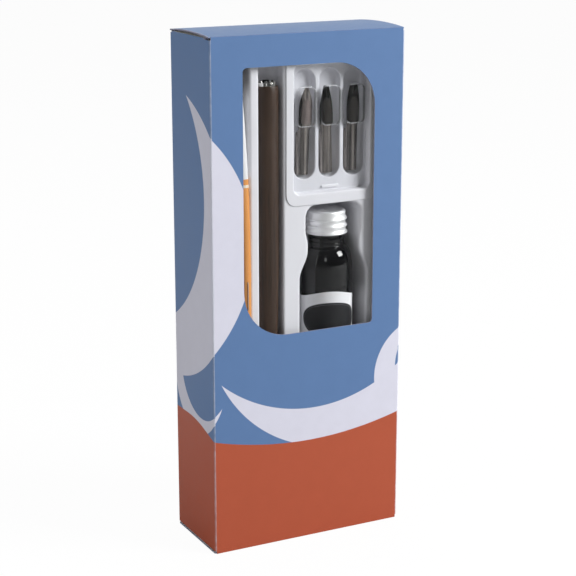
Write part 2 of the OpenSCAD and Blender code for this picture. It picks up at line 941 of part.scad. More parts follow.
// How far the booklet leans away from the tray at height z
function booklet_lean_at(z) = z < booklet_bend_z ? 0
    : booklet_lean * pow((z - booklet_bend_z) / (booklet_z1 - booklet_bend_z), 2);

// Bent slab of the booklet, drawn in by an inset on both sides and carried past both ends
module booklet_slab(inset, y0, y1, past) {
    steps = 10;
    heights = concat(
        [floor_z - past],
        [for (i = [0:steps]) booklet_bend_z + (booklet_z1 - booklet_bend_z) * i / steps],
        past > 0 ? [booklet_z1 + past] : []
    );
    right = [for (z = heights) [booklet_x1 - inset - booklet_lean_at(z), z]];
    left = [for (z = heights) [booklet_x1 - booklet_t + inset - booklet_lean_at(z), z]];
    upright(y0, y1)
        polygon(concat(right, [for (i = [len(left) - 1:-1:0]) left[i]]));
}

// Cover folded round the pages, with its spine towards the window
module booklet_cover() {
    t = booklet_cover_t;
    color("orange")
        difference() {
            booklet_slab(0, booklet_y0, booklet_y0 + booklet_w, 0);
            booklet_slab(t, booklet_y0 + t, booklet_y0 + booklet_w + over, over);
        }
}

module booklet_pages() {
    t = booklet_cover_t;
    color("white")
        booklet_slab(t, booklet_y0 + 2 * t, booklet_y0 + booklet_w - t, 0);
}

module booklet_staples() {
    wire_r = 0.18;
    wire_len = 12;
    color("silver")
        for (share = [0.25, 0.6])
            translate([booklet_x1 - booklet_t / 2, booklet_y0 - wire_r, share * booklet_z1 - wire_len])
                cylinder(r = wire_r, h = wire_len);
}

front_panel();
back_panel();
left_side_panel();
right_side_panel();
glue_flap();
bottom_outer_flap();
bottom_inner_flap();
bottom_dust_flap_left();
bottom_dust_flap_right();
window_film();
lid_panel();
lid_tuck_tab();
top_dust_flap_left();
top_dust_flap_right();
tray();
nib_tray();
nib_cover();
nib_narrow();
nib_medium();
nib_wide();
nib_reservoir_narrow();
nib_reservoir_medium();
nib_reservoir_wide();
pen_shaft();
pen_ferrule();
nib_clamp();
bottle_glass();
ink();
bottle_label();
screw_cap();
cap_liner();
booklet_cover();
booklet_pages();
booklet_staples();
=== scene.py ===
import math

import bmesh
import bpy
from mathutils import Matrix, Vector
from mathutils.geometry import tessellate_polygon


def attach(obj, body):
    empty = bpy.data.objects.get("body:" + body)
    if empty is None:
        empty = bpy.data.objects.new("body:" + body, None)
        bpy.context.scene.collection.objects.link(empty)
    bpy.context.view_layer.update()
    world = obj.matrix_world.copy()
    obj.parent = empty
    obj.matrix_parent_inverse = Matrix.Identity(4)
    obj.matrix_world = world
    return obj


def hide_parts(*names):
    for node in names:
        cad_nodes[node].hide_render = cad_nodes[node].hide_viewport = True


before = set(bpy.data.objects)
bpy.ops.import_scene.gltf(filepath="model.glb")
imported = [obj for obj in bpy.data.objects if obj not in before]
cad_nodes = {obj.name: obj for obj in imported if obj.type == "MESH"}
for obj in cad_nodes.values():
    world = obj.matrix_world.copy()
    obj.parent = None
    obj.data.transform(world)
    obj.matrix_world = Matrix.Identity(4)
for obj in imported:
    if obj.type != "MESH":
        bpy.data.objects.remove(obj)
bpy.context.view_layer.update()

# Studio: a white floor in a white surround. A square soft lamp at the front right is the main light,
# with weak ones beside the camera, at the left and above. The camera stands to the left of the
# carton's front, a little above it.
scene = bpy.context.scene
scene.view_settings.view_transform = "Standard"


def blank_material(name):
    """A new material, its node tree and its surface shader."""
    made = bpy.data.materials.new(name)
    made.use_nodes = True
    return made, made.node_tree, made.node_tree.nodes["Principled BSDF"]


def feed(tree, node, **inputs):
    """Gives a node its inputs, each by its name, or by its number as in0, in1 and so on."""
    for key, value in inputs.items():
        numbered = key.startswith("in") and key[2:].isdigit()
        socket = node.inputs[int(key[2:]) if numbered else key.replace("_", " ")]
        if isinstance(value, bpy.types.NodeSocket):
            tree.links.new(value, socket)
        else:
            socket.default_value = value


def part(tree, kind, settings=None, **inputs):
    """Adds a node."""
    made = tree.nodes.new(kind)
    for key, value in (settings or {}).items():
        setattr(made, key, value)
    feed(tree, made, **inputs)
    return made


def shade(tree, kind, settings=None, **inputs):
    return part(tree, "ShaderNode" + kind, settings, **inputs)


def blend(tree, share, colour, other):
    """Mixes two colours; a share of 1 gives the other one."""
    return shade(tree, "MixRGB", in0=share, in1=colour, in2=other).outputs[0]


def noise(tree, place, scale, detail=2.0, **more):
    return shade(tree, "TexNoise", Vector=place, Scale=scale, Detail=detail, **more).outputs["Fac"]


def bump(tree, strength, depth, height, **more):
    return shade(tree, "Bump", Strength=strength, Distance=depth, Height=height, **more).outputs[0]


def object_place(tree):
    return shade(tree, "TexCoord").outputs["Object"]


def stretched(tree, place, scale):
    """The place, squeezed along each axis, so that a pattern there is drawn out."""
    return shade(tree, "Mapping", Vector=place, Scale=scale).outputs[0]


def sum_of(tree, kind, first, second=0.0, third=0.0, clamp=False):
    """One step of arithmetic, such as ADD or MULTIPLY_ADD."""
    return shade(tree, "Math", {"operation": kind, "use_clamp": clamp},
                 in0=first, in1=second, in2=third).outputs[0]


def scaled(tree, value, by, plus=0.0, clamp=False):
    return sum_of(tree, "MULTIPLY_ADD", value, by, plus, clamp)


camera_turn, camera_height, camera_far = math.radians(-27.3), math.radians(14.8), 0.694
aim = Vector((0, 0, 0.108))
camera = bpy.data.objects.new("camera", bpy.data.cameras.new("camera"))
scene.collection.objects.link(camera)
camera.data.lens, camera.data.sensor_width = 99.9, 36
camera.location = aim + camera_far * Vector((
    math.sin(camera_turn) * math.cos(camera_height),
    -math.cos(camera_turn) * math.cos(camera_height),
    math.sin(camera_height)))
camera.rotation_euler = (aim - camera.location).to_track_quat("-Z", "Y").to_euler()
scene.camera = camera

for lamp_name, place, width, power in (
        ("key_softbox", (0.94, -0.84, 0.74), 0.60, 24.0),
        ("front_softbox", (-0.62, -1.10, 0.42), 0.22, 0.5),
        ("fill_softbox", (-1.42, -0.14, 0.50), 0.8, 6.6),
        ("top_softbox", (0.15, 0.40, 1.25), 0.7, 4.6)):
    lamp = bpy.data.objects.new(lamp_name, bpy.data.lights.new(lamp_name, "AREA"))
    lamp.data.size, lamp.data.energy = width, power
    lamp.location = place
    lamp.rotation_euler = (Vector((0, 0, 0.11)) - lamp.location).to_track_quat("-Z", "Y").to_euler()
    scene.collection.objects.link(lamp)

surround = bpy.data.worlds.new("surround")
scene.world = surround
surround.use_nodes = True
sky = surround.node_tree
rays = shade(sky, "LightPath").outputs
towards = shade(sky, "SeparateXYZ", Vector=shade(sky, "TexCoord").outputs["Generated"]).outputs
behind = scaled(sky, towards["Y"], 1.6, 0.45, clamp=True)
behind = sum_of(sky, "MULTIPLY", behind, scaled(sky, towards["X"], 1.1, 0.85, clamp=True))
seen = sum_of(sky, "MAXIMUM", rays["Is Camera Ray"], rays["Is Transmission Ray"])
white_level, room_light, dark_room = 0.975, 0.07, 0.05
lit = scaled(sky, seen, white_level - room_light, room_light)
mirrored = sum_of(sky, "SUBTRACT", scaled(sky, behind, 1 - dark_room, dark_room), lit)
lit = scaled(sky, mirrored, rays["Is Glossy Ray"], lit)
feed(sky, sky.nodes["Background"], Color=(1, 1, 1, 1), Strength=lit)

floor_paint, tree, paint = blank_material("studio floor")
feed(tree, paint, Base_Color=(0.5, 0.5, 0.5, 1), Roughness=0.9)
rays = shade(tree, "LightPath").outputs
seen = sum_of(tree, "MAXIMUM", rays["Is Camera Ray"], rays["Is Transmission Ray"])
depth = shade(tree, "SeparateXYZ", Vector=object_place(tree)).outputs["Y"]
mirrored = sum_of(tree, "MULTIPLY", scaled(tree, depth, 4.0, 0.1, clamp=True),
                  rays["Is Glossy Ray"])
seen = sum_of(tree, "MAXIMUM", seen, mirrored)
glow = shade(tree, "Emission", Color=(1, 1, 1, 1), Strength=1.04)
floor_mix = shade(tree, "MixShader", in0=sum_of(tree, "MULTIPLY", seen, 0.93),
                  in1=paint.outputs[0], in2=glow.outputs[0])
feed(tree, tree.nodes["Material Output"], Surface=floor_mix.outputs[0])
bpy.ops.mesh.primitive_plane_add(size=6)
bpy.context.object.data.materials.append(floor_paint)


# Carton sleeve: one blank of 0.6 mm folding boxboard, printed and satin coated outside and white
# inside, creased at its four corners and die-cut for the window with one swept corner.
def laid_out(name, bm):
    """An object of a mesh that was drawn in millimetres."""
    bmesh.ops.scale(bm, vec=(0.001,) * 3, verts=bm.verts)
    mesh = bpy.data.meshes.new(name)
    bm.to_mesh(mesh)
    bm.free()
    piece = bpy.data.objects.new(name, mesh)
    scene.collection.objects.link(piece)
    return piece


def made_plain(piece):
    """Puts what the piece's modifiers make into its mesh."""
    drawn = piece.data
    plain_mesh = bpy.data.meshes.new_from_object(piece.evaluated_get(bpy.context.evaluated_depsgraph_get()))
    piece.modifiers.clear()
    piece.data = plain_mesh
    bpy.data.meshes.remove(drawn)
    plain_mesh.name = piece.name


def smoothed(piece, crisp):
    """Smooths the piece, apart from edges that turn by more than crisp, in degrees."""
    piece.data.polygons.foreach_set("use_smooth", [True] * len(piece.data.polygons))
    piece.data.set_sharp_from_angle(angle=math.radians(crisp))


def hand_over(piece, body, stands_for):
    """Puts the piece on its body, in place of the solids that it dresses."""
    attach(piece, body)
    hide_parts(*stands_for)


def settle(name, bm, finishes, body, stands_for, wall=0.0, inner=0, rim=0, crisp=40, weighted=False):
    """Makes a piece of a mesh, with a wall behind it if it has a thickness."""
    piece = laid_out(name, bm)
    for finish in finishes:
        piece.data.materials.append(finish)
    if wall:
        thick = piece.modifiers.new("wall", "SOLIDIFY")
        thick.thickness, thick.offset, thick.use_even_offset = wall * 0.001, -1, True
        thick.material_offset, thick.material_offset_rim = inner, rim
        made_plain(piece)
    smoothed(piece, crisp)
    if weighted:
        flat = piece.modifiers.new("flat faces stay flat", "WEIGHTED_NORMAL")
        flat.keep_sharp = True
    hand_over(piece, body, stands_for)
    return piece


def loft(bm, rings, closed=True, slot=0):
    """Joins rings of points by faces; a ring of one point closes the end."""
    rows = [[bm.verts.new(point) for point in ring] for ring in rings]
    span(bm, rows, closed, slot)
    return rows


def span(bm, rows, closed=True, slot=0):
    """Joins rows of points that are there already."""
    for near, far in zip(rows, rows[1:]):
        count = max(len(near), len(far))
        if count == 1:
            continue
        for i in range(count if closed else count - 1):
            j = (i + 1) % count
            corners = (near[i % len(near)], near[j % len(near)], far[j % len(far)], far[i % len(far)])
            bm.faces.new(list(dict.fromkeys(corners))).material_index = slot


def fill(bm, loops, facing, slot=0):
    """Fills the flat face inside the first loop and outside the others."""
    corners = [vert for loop in loops for vert in loop]
    for triangle in tessellate_polygon([[vert.co for vert in loop] for loop in loops]):
        face = bm.faces.new([corners[i] for i in triangle])
        face.material_index = slot
        face.normal_update()
        if face.normal.dot(Vector(facing)) < 0:
            face.normal_flip()


def turn_outwards(bm):
    """Turns all faces outwards, so that the foremost one looks to the front."""
    bmesh.ops.recalc_face_normals(bm, faces=bm.faces)
    foremost = min(bm.faces, key=lambda face: face.calc_center_median().y)
    if foremost.normal.y > 0:
        bmesh.ops.reverse_faces(bm, faces=bm.faces)


def arc(x, y, r, start, end, steps):
    """Points on a round stretch, between two angles in degrees."""
    turns = [math.radians(start + (end - start) * i / steps) for i in range(steps + 1)]
    return [(x + r * math.cos(a), y + r * math.sin(a)) for a in turns]


def round_rect(x0, x1, z0, z1, r, steps=6):
    """Outline with rounded corners, one radius for all or one each from the lower right round."""
    radii = r if isinstance(r, (list, tuple)) else (r,) * 4
    centres = ((x1, z0, -1, 1, -90), (x1, z1, -1, -1, 0), (x0, z1, 1, -1, 90), (x0, z0, 1, 1, 180))
    return [p for (x, z, sx, sz, a), rr in zip(centres, radii)
            for p in arc(x + sx * rr, z + sz * rr, rr, a, a + 90, steps)]


def print_colours(tree, across, up):
    """Blue above orange red, with pale crescents. Both coordinates are in decimetres of flat board.

    Each crescent is a disc from which another is cut, and has the centre and radius of both.
    """
    edge_steepness = 500.0

    def disc(x, z, r):
        dx, dz = sum_of(tree, "SUBTRACT", across, x), sum_of(tree, "SUBTRACT", up, z)
        far = sum_of(tree, "SQRT", scaled(tree, dx, dx, sum_of(tree, "MULTIPLY", dz, dz)))
        return scaled(tree, sum_of(tree, "SUBTRACT", r, far), edge_steepness, 0.5, clamp=True)

    crescents = ((-0.90, 1.34, 0.64, -1.14, 1.52, 0.62),
                 (0.16, 1.04, 0.64, 0.03, 1.27, 0.68),
                 (0.575, 0.68, 0.25, 0.665, 0.715, 0.235),
                 (-0.62, 0.72, 0.22, -0.57, 0.78, 0.205),
                 (1.40, 1.08, 0.42, 1.28, 1.20, 0.44),
                 (1.02, 1.75, 0.5, 1.10, 1.62, 0.5))
    pale = 0.0
    for x, z, r, cut_x, cut_z, cut_r in crescents:
        kept = sum_of(tree, "SUBTRACT", 1.0, disc(cut_x, cut_z, cut_r))
        pale = sum_of(tree, "MAXIMUM", pale, sum_of(tree, "MULTIPLY", disc(x, z, r), kept))
    middle_height, side_height, blend_height = 0.445, 0.56, 0.06
    sag = sum_of(tree, "MULTIPLY", sum_of(tree, "MULTIPLY", across, across), 0.31)
    border = sum_of(tree, "SMOOTH_MIN", sum_of(tree, "ADD", sag, middle_height), side_height, blend_height)
    low = scaled(tree, sum_of(tree, "SUBTRACT", border, up), edge_steepness, 0.5, clamp=True)
    blue = (0.112, 0.205, 0.400, 1)
    pale_lilac = (0.680, 0.680, 0.780, 1)
    orange_red = (0.450, 0.095, 0.046, 1)
    return blend(tree, low, blend(tree, pale, blue, pale_lilac), orange_red)


def paper_grain(tree, colour, place, depth, fleck, fine=2600.0):
    """Mottles a colour a little and gives the surface the fine relief of pressed fibre."""
    fibre = noise(tree, place, fine, 3.0, Roughness=0.6)
    cloud = noise(tree, place, fine / 14)
    both = scaled(tree, cloud, 0.6, sum_of(tree, "MULTIPLY", fibre, 0.4))
    level = scaled(tree, both, fleck, 1 - fleck / 2)
    mottled = shade(tree, "VectorMath", {"operation": "SCALE"}, in0=colour, Scale=level).outputs[0]
    relief = bump(tree, depth, 0.00004, fibre)
    return mottled, relief, both


printed, tree, coat = blank_material("printed board")
flat_place = shade(tree, "UVMap", {"uv_map": "flat"}).outputs[0]
split = shade(tree, "SeparateXYZ", Vector=flat_place).outputs
inked = print_colours(tree, split[0], split[1])
place = object_place(tree)
# A pale line along each crease: partly the board whitened where it is folded, partly a painted highlight on
# the rounded crease.
crease_whitening_and_highlight = 0.0
for crease in (-0.45, 0.45, 0.84, -0.84):
    near = sum_of(tree, "ABSOLUTE", sum_of(tree, "SUBTRACT", split[0], crease))
    crease_whitening_and_highlight = sum_of(tree, "MAXIMUM", crease_whitening_and_highlight, scaled(tree, near, -150.0, 1.1, clamp=True))
patchy = noise(tree, place, 300.0, 3.0)
crease_whitening_and_highlight = sum_of(tree, "MULTIPLY", crease_whitening_and_highlight, scaled(tree, patchy, 0.7, clamp=True))
inked = blend(tree, crease_whitening_and_highlight, inked, (0.72, 0.75, 0.84, 1))
inked, relief, haze = paper_grain(tree, inked, place, 0.35, 0.10)
feed(tree, coat, Base_Color=inked, Normal=relief, Roughness=scaled(tree, haze, 0.16, 0.36),
     Specular_IOR_Level=0.2)


def bare_paper(name, colour, depth, fleck, fine, rough):
    """Unprinted paper or board."""
    made, tree, coat = blank_material(name)
    fibres, relief, haze = paper_grain(tree, colour, object_place(tree), depth, fleck, fine)
    feed(tree, coat, Base_Color=fibres, Normal=relief, Roughness=rough)
    return made


plain = bare_paper("plain board", (0.74, 0.73, 0.71), 0.8, 0.16, 1500.0, 0.85)
# Cut edges are painted a dark bluish grey, far darker than the bare board: partly painted shade for the thin
# gaps where they show, as at the lid's ends.
shaded_cut_edge = bare_paper("cut board edge", (0.30, 0.30, 0.40), 1.0, 0.3, 4200.0, 0.9)

half_w, half_d, board = 45.0, 19.5, 0.6
inner_w, inner_d = half_w - board, half_d - board
front_high, back_high = 220.0, 219.4
side_low, side_high = 2 * board, 218.7
crease_r = 0.7
window_small_r, window_top_r, window_sweep_r = 1.8, 18.3, 20.5
window = round_rect(-30.5, 31.0, 93.5, 207.0,
                    (window_small_r, window_top_r, window_small_r, window_sweep_r), 12)


def unrolled(point):
    """Where a point of the closed carton lies on the flat blank, in decimetres."""
    x, y, z = point
    if z > front_high - 0.1 and abs(y) < half_d - 0.02:
        return x / 100, (front_high + y + half_d) / 100
    if y > half_d - crease_r / 2 and abs(x) < half_w - crease_r / 2:
        return (half_w + 2 * half_d + half_w - x) / 100, z / 100
    across = max(-half_w, min(half_w, x))
    turned = max(0.0, y + half_d)
    if abs(x) > half_w - crease_r and turned:
        across = math.copysign(half_w + turned, x)
    return across / 100, z / 100


def lay_flat(bm):
    """Gives each corner its place on the flat blank."""
    flat = bm.loops.layers.uv.new("flat")
    for face in bm.faces:
        middle = face.calc_center_median()
        for loop in face.loops:
            pulled = loop.vert.co + (middle - loop.vert.co) * 1e-4
            loop[flat].uv = unrolled(pulled)


bm = bmesh.new()
corner_x, corner_y = half_w - crease_r, half_d - crease_r
rounds = [arc(sx * corner_x, sy * corner_y, crease_r, start, start + 90, 6)
          for sx, sy, start in ((1, -1, -90), (1, 1, 0), (-1, 1, 90), (-1, -1, 180))]
columns = [[[bm.verts.new((x, y, z)) for z in (side_low, side_high)] for x, y in turn] for turn in rounds]
for turn in columns:
    span(bm, turn, closed=False)
for k in (0, 2):
    span(bm, [columns[k][-1], columns[k + 1][0]], closed=False)


def tall_panel(right, left, low, high, facing, holes=()):
    """Panel between two creases, which run less far up and down than it does."""
    ends = []
    for column, y in ((right, right[0].co.y), (left, left[0].co.y)):
        x = column[0].co.x
        ends.append([bm.verts.new((x, y, low)), column[0], column[1], bm.verts.new((x, y, high))])
    cuts = [[bm.verts.new((x, right[0].co.y, z)) for x, z in hole] for hole in holes]
    fill(bm, [ends[0] + ends[1][::-1]] + cuts, facing)


tall_panel(columns[0][0], columns[3][-1], 0.0, front_high, (0, -1, 0), [window])
tall_panel(columns[2][0], columns[1][-1], board, back_high, (0, 1, 0))
turn_outwards(bm)
lay_flat(bm)
settle("carton_sleeve", bm, (printed, plain, shaded_cut_edge), "carton",
       ("front_panel", "back_panel", "left_side_panel", "right_side_panel"),
       wall=board, inner=1, rim=2, weighted=True)


# Flaps: the glue flap, the four glued flaps of the base and the two dust flaps under the lid, all
# of the same board. Each is cut with small rounded corners; the base's outer flap is printed.
def eased(points, r, steps=4):
    """Rounds each corner of an outline."""
    out = []
    for i, corner in enumerate(points):
        here, before, after = (Vector(points[k % len(points)]) for k in (i, i - 1, i + 1))
        reach = min(r, (before - here).length / 2.2, (after - here).length / 2.2)
        start = here + (before - here).normalized() * reach
        end = here + (after - here).normalized() * reach
        for k in range(steps + 1):
            t = k / steps
            out.append(tuple(start * (1 - t) ** 2 + here * 2 * t * (1 - t) + end * t * t))
    return out


def flap(name, outline, stand, body, corner=1.0):
    """A board flap; stand places a point of it, with its depth from the outer face."""
    bm = bmesh.new()
    outline = eased(outline, corner)
    faces = [[bm.verts.new(stand(u, v, w)) for u, v in outline] for w in (0.0, board)]
    out = Vector(stand(0, 0, 0)) - Vector(stand(0, 0, 1))
    fill(bm, [faces[0]], out, 0)
    fill(bm, [faces[1]], -out, 1)
    span(bm, faces, slot=2)
    bmesh.ops.recalc_face_normals(bm, faces=bm.faces)
    lay_flat(bm)
    for face in bm.faces:
        if name.startswith("top") and abs(face.calc_center_median().x) > half_w - 0.02:
            face.material_index = 3
    outer, slot = plain, "plain_board"
    if name in ("bottom_outer_flap", "lid_tuck_tab"):
        outer, slot = printed, "printed_board"
    settle(name + "_board", bm, (outer, plain, shaded_cut_edge, printed), body, (name,))


glue_w, glue_slope, glue_low, glue_high = 12.0, 4.0, side_low + 0.7, side_high - 0.1
flap("glue_flap",
     [(-inner_w, glue_low), (glue_w - inner_w, glue_low + glue_slope),
      (glue_w - inner_w, glue_high - glue_slope), (-inner_w, glue_high)],
     lambda u, v, w: (u, inner_d - w, v), "carton", 0.6)
base_back, flap_reach = inner_d + 0.1, 31.8
flap("bottom_outer_flap",
     [(-half_w, -inner_d), (half_w, -inner_d), (half_w, base_back), (-half_w, base_back)],
     lambda u, v, w: (u, v, w), "carton", 0.8)
flap("bottom_inner_flap",
     [(-inner_w, inner_d - flap_reach), (inner_w, inner_d - flap_reach),
      (inner_w, inner_d), (-inner_w, inner_d)],
     lambda u, v, w: (u, v, w + board), "carton", 1.5)
lid_front, lid_back = -18.8, 19.5
tab_len, tab_tilt = 9.0, math.radians(10)
tab_room = tab_len * math.sin(tab_tilt) + 2 * board + 0.8
base_slope, top_reach, top_flap_high = 3.0, 30.0, 219.3
for side, word in ((-1, "left"), (1, "right")):
    flap("bottom_dust_flap_" + word,
         [(inner_w, lid_front), (inner_w - flap_reach, lid_front + base_slope),
          (inner_w - flap_reach, inner_d - 0.7 - base_slope), (inner_w, inner_d - 0.7)],
         lambda u, v, w, side=side: (side * u, v, w + 2 * board), "carton", 1.5)
    flap("top_dust_flap_" + word,
         [(half_w, lid_front + tab_room), (half_w - top_reach, lid_front + tab_room + 2),
          (half_w - top_reach, 1.9), (half_w, inner_d - 0.2)],
         lambda u, v, w, side=side: (side * u, v, top_flap_high - w), word + "_dust_flap", 1.2)

# Lid: bows up in the middle because it is sprung between its crease at the back and the tuck tab,
# which goes down behind the front panel. Its front edge is folded round the board's thickness.
bow_centre_y, bow_centre_z, bow_r = (lid_front + lid_back) / 2, 16.115, 204.785
lid_low, fold_r, bow_steps = 219.42, 0.62, 24
section = []
for i in range(bow_steps + 1):
    y = lid_back + (lid_front + fold_r - lid_back) * i / bow_steps
    section.append((y, bow_centre_z + math.sqrt(bow_r ** 2 - (y - bow_centre_y) ** 2)))
fold_z = section[-1][1] - fold_r
section += [(lid_front + fold_r - fold_r * math.sin(a), fold_z + fold_r * math.cos(a))
            for a in (math.radians(15 * k) for k in range(1, 7))]
section += [(lid_front, lid_low), (lid_front + board, lid_low)]
for i in range(bow_steps + 1):
    y = lid_front + board + 0.05 + (lid_back - lid_front - board - 0.05) * i / bow_steps
    section.append((y, bow_centre_z + math.sqrt((bow_r - board) ** 2 - (y - bow_centre_y) ** 2)))
bm = bmesh.new()
ends = [[bm.verts.new((x, y, z)) for y, z in section] for x in (-half_w, half_w)]
span(bm, ends)
for ring, facing in zip(ends, ((-1, 0, 0), (1, 0, 0))):
    fill(bm, [ring], facing, 2)
bmesh.ops.recalc_face_normals(bm, faces=bm.faces)
for face in bm.faces:
    if face.material_index == 0 and face.normal.z < -0.2:
        face.material_index = 1
lay_flat(bm)
settle("lid_board", bm, (printed, plain, shaded_cut_edge), "lid", ("lid_panel",), weighted=True)

half_tab = [(40.0, -tab_len), (43.8, -4.2), (43.8, -0.8), (43.05, -0.8), (43.0, -0.15)]
flap("lid_tuck_tab", [(-u, v) for u, v in reversed(half_tab)] + half_tab,
     lambda u, v, w: (u, lid_front + w * math.cos(tab_tilt) - v * math.sin(tab_tilt),
                      back_high + v * math.cos(tab_tilt) + w * math.sin(tab_tilt)), "tuck_tab", 1.6)


# Window film: a clear sheet glued behind the front panel, so thin that it hardly reflects except
# where it is seen edge on.
def clear_sheet(name, waves, unevenness, depth, gloss, tint, least):
    """A clear sheet, with the share that it reflects where it is faced; returns its shader too."""
    made, tree, coat = blank_material(name)
    tree.nodes.remove(coat)
    ripple = noise(tree, object_place(tree), waves, 1.0)
    relief = bump(tree, unevenness, depth, ripple)
    sheen = shade(tree, "BsdfGlossy", Color=(1, 1, 1, 1), Roughness=gloss, Normal=relief)
    through = shade(tree, "BsdfTransparent", Color=tint)
    slant = shade(tree, "LayerWeight", Blend=0.5, Normal=relief).outputs["Facing"]
    share = scaled(tree, sum_of(tree, "POWER", slant, 5.0), 0.9, least)
    pane = shade(tree, "MixShader", in0=share, in1=through.outputs[0], in2=sheen.outputs[0]).outputs[0]
    return made, tree, pane


film, tree, pane = clear_sheet("clear film", 22.0, 0.2, 0.002, 0.06, (0.985, 0.99, 0.99, 1), 0.004)
feed(tree, tree.nodes["Material Output"], Surface=pane)
film_node = cad_nodes["window_film"]
for k in range(len(film_node.data.materials)):
    film_node.data.materials[k] = film

# Tray: white plastic sheet formed over a mould, with rounded edges, a channel for the pen, a
# shaped place for the bottle, a recess for the nib tray and a flat flange at the back.
white, tree, coat = blank_material("white formed sheet")
place = object_place(tree)
drawn = noise(tree, place, 60.0)
grain = noise(tree, place, 2200.0)
tone = blend(tree, drawn, (0.725, 0.720, 0.762, 1), (0.775, 0.770, 0.810, 1))
soft = bump(tree, 0.25, 0.0006, drawn)
feed(tree, coat, Base_Color=tone, Roughness=scaled(tree, drawn, 0.15, 0.30),
     Normal=bump(tree, 0.12, 0.00002, grain, Normal=soft))


def quarter(steps):
    """Angles of a quarter turn, both ends included."""
    return [math.pi / 2 * k / steps for k in range(steps + 1)]


def rounded_lip(r, steps):
    """How far an outline is grown, and how deep it lies, round an edge."""
    return [(r * (1 - math.sin(a)), r * (1 - math.cos(a))) for a in quarter(steps)]


def pressed(bm, outline, y, depth, lip, root, draw=0.0, steps=4, towards=1, floor=True):
    """Presses an outline back from the face at y: rounded lip, drawn wall, rounded edge and floor.

    The outline is a function of how far it is grown. A negative towards presses it forward.
    """
    levels = rounded_lip(lip, steps)
    levels += [(-draw - root * (1 - math.cos(a)), depth - root + root * math.sin(a)) for a in quarter(steps)]
    rows = loft(bm, [[(x, y + towards * deep, z) for x, z in outline(grow)] for grow, deep in levels])
    if floor:
        fill(bm, [rows[-1]], (0, -1, 0))
    return rows


def face_the_front(bm):
    """Turns all faces outwards, so that the broad ones look to the front."""
    bmesh.ops.recalc_face_normals(bm, faces=bm.faces)
    broad = max((face for face in bm.faces if abs(face.normal.y) > 0.99), key=lambda face: face.calc_area())
    if broad.normal.y > 0:
        bmesh.ops.reverse_faces(bm, faces=bm.faces)


pen_x = -16.0
tray_face, tray_wall, tray_deep, tray_spread = -16.0, 0.6, 34.2, 2.4
channel_low, channel_high, channel_half, channel_axis = 24.5, 210.3, 5.5, 3.85


def channel_outline(half, grow=0.0):
    r = min(1.2, half * 0.9) if half < channel_half else 1.2 + max(grow, 0)
    return round_rect(pen_x - half, pen_x + half, channel_low - grow, channel_high + grow, r, 4)


def eased_share(at, start, end):
    """Goes smoothly from 0 at the start to 1 at the end."""
    t = max(0.0, min(1.0, (at - start) / (end - start)))
    return t * t * (3 - 2 * t)


def cavity_half(z):
    """Half width of the bottle's place: broad for the body, drawn in at the neck, wider at the cap."""
    return 16.0 - 3.9 * eased_share(z, 115.5, 127.5) + 1.1 * eased_share(z, 130.5, 136.5)


def cavity_outline(grow):
    middle, low, high, crown_r, foot_r = 13.7, 81.1, 147.1, 5.0, 3.0
    sides_low, sides_high = low + foot_r, high - crown_r
    foot_grow = max(grow, 0.0)
    half = [(cavity_half(low) + grow - (foot_r + grow) * (1 - math.sin(a)),
             low - foot_grow + (foot_r + foot_grow) * (1 - math.cos(a))) for a in quarter(6)[:-1]]
    for i in range(41):
        z = sides_low + (sides_high - sides_low) * i / 40
        half.append((cavity_half(z) + grow, z))
    half += [(cavity_half(high) + grow - (crown_r + grow) * (1 - math.cos(a)),
              sides_high + (crown_r + grow) * math.sin(a)) for a in quarter(8)[1:]]
    return [(middle + u, z) for u, z in half] + [(middle - u, z) for u, z in reversed(half)]


nib_middle = 12.4
recess_half, recess_low, recess_high, recess_r = 18.8, 151.7, 207.2, 3.3


def recess_outline(grow):
    return round_rect(nib_middle - recess_half - grow, nib_middle + recess_half + grow,
                      recess_low - grow, recess_high + grow, recess_r + grow, 6)


bm = bmesh.new()
levels = [(channel_half, grow, deep) for grow, deep in rounded_lip(1.1, 4)]
levels += [(channel_half * math.cos(a), 0.0, channel_axis + channel_half * math.sin(a))
           for a in (math.radians(k) for k in range(0, 86, 8))]
channel_rows = loft(bm, [[(x, tray_face + deep, z) for x, z in channel_outline(half + grow, grow)]
                         for half, grow, deep in levels])
fill(bm, [channel_rows[-1]], (0, -1, 0))
cavity_rows = pressed(bm, cavity_outline, tray_face, 20.8, 1.2, 2.2, 0.7, 6)
recess_rows = pressed(bm, recess_outline, tray_face, 6.6, 0.8, 0.8)


def tray_outline(inset, deep):
    spread = tray_spread * deep / tray_deep
    return round_rect(-26.0 + inset, 39.9 + spread - inset,
                      5.0 - spread / 2 + inset, 212.6 + spread / 2 - inset, max(3.0 - inset, 1.0), 6)


edge_r, flare_r, sheet_deep = 1.3, 1.2, tray_deep - tray_wall
levels = rounded_lip(edge_r, 6)
levels += [(-flare_r * (1 - math.cos(a)), sheet_deep - flare_r + flare_r * math.sin(a)) for a in quarter(4)]
outer = [[(x, tray_face + deep, z) for x, z in tray_outline(inset, deep)] for inset, deep in levels]
base_rim = round_rect(-44.3, 44.3, 1.8, 215.8, 2.0, 6)
outer.append([(x, tray_face + sheet_deep, z) for x, z in base_rim])
outer_rows = loft(bm, outer)
fill(bm, [outer_rows[0], channel_rows[0], cavity_rows[0], recess_rows[0]], (0, -1, 0))
face_the_front(bm)
settle("tray_sheet", bm, (white,), "carton", ("tray",), wall=tray_wall, weighted=True)

# Nib tray: a thinner formed sheet that drops into the tray's recess. It has a broad flange, a
# shallow pan and three round-ended pockets, and a small raised bar to lift it by.
pitch, pan_half, pan_low, pan_high = 11.7, 18.0, 152.5, 206.4
pocket_half, pocket_low, pocket_high = 4.9, 158.3, 204.3
flange_y, pan_y, pocket_deep = -16.5, -13.6, 3.4
bm = bmesh.new()


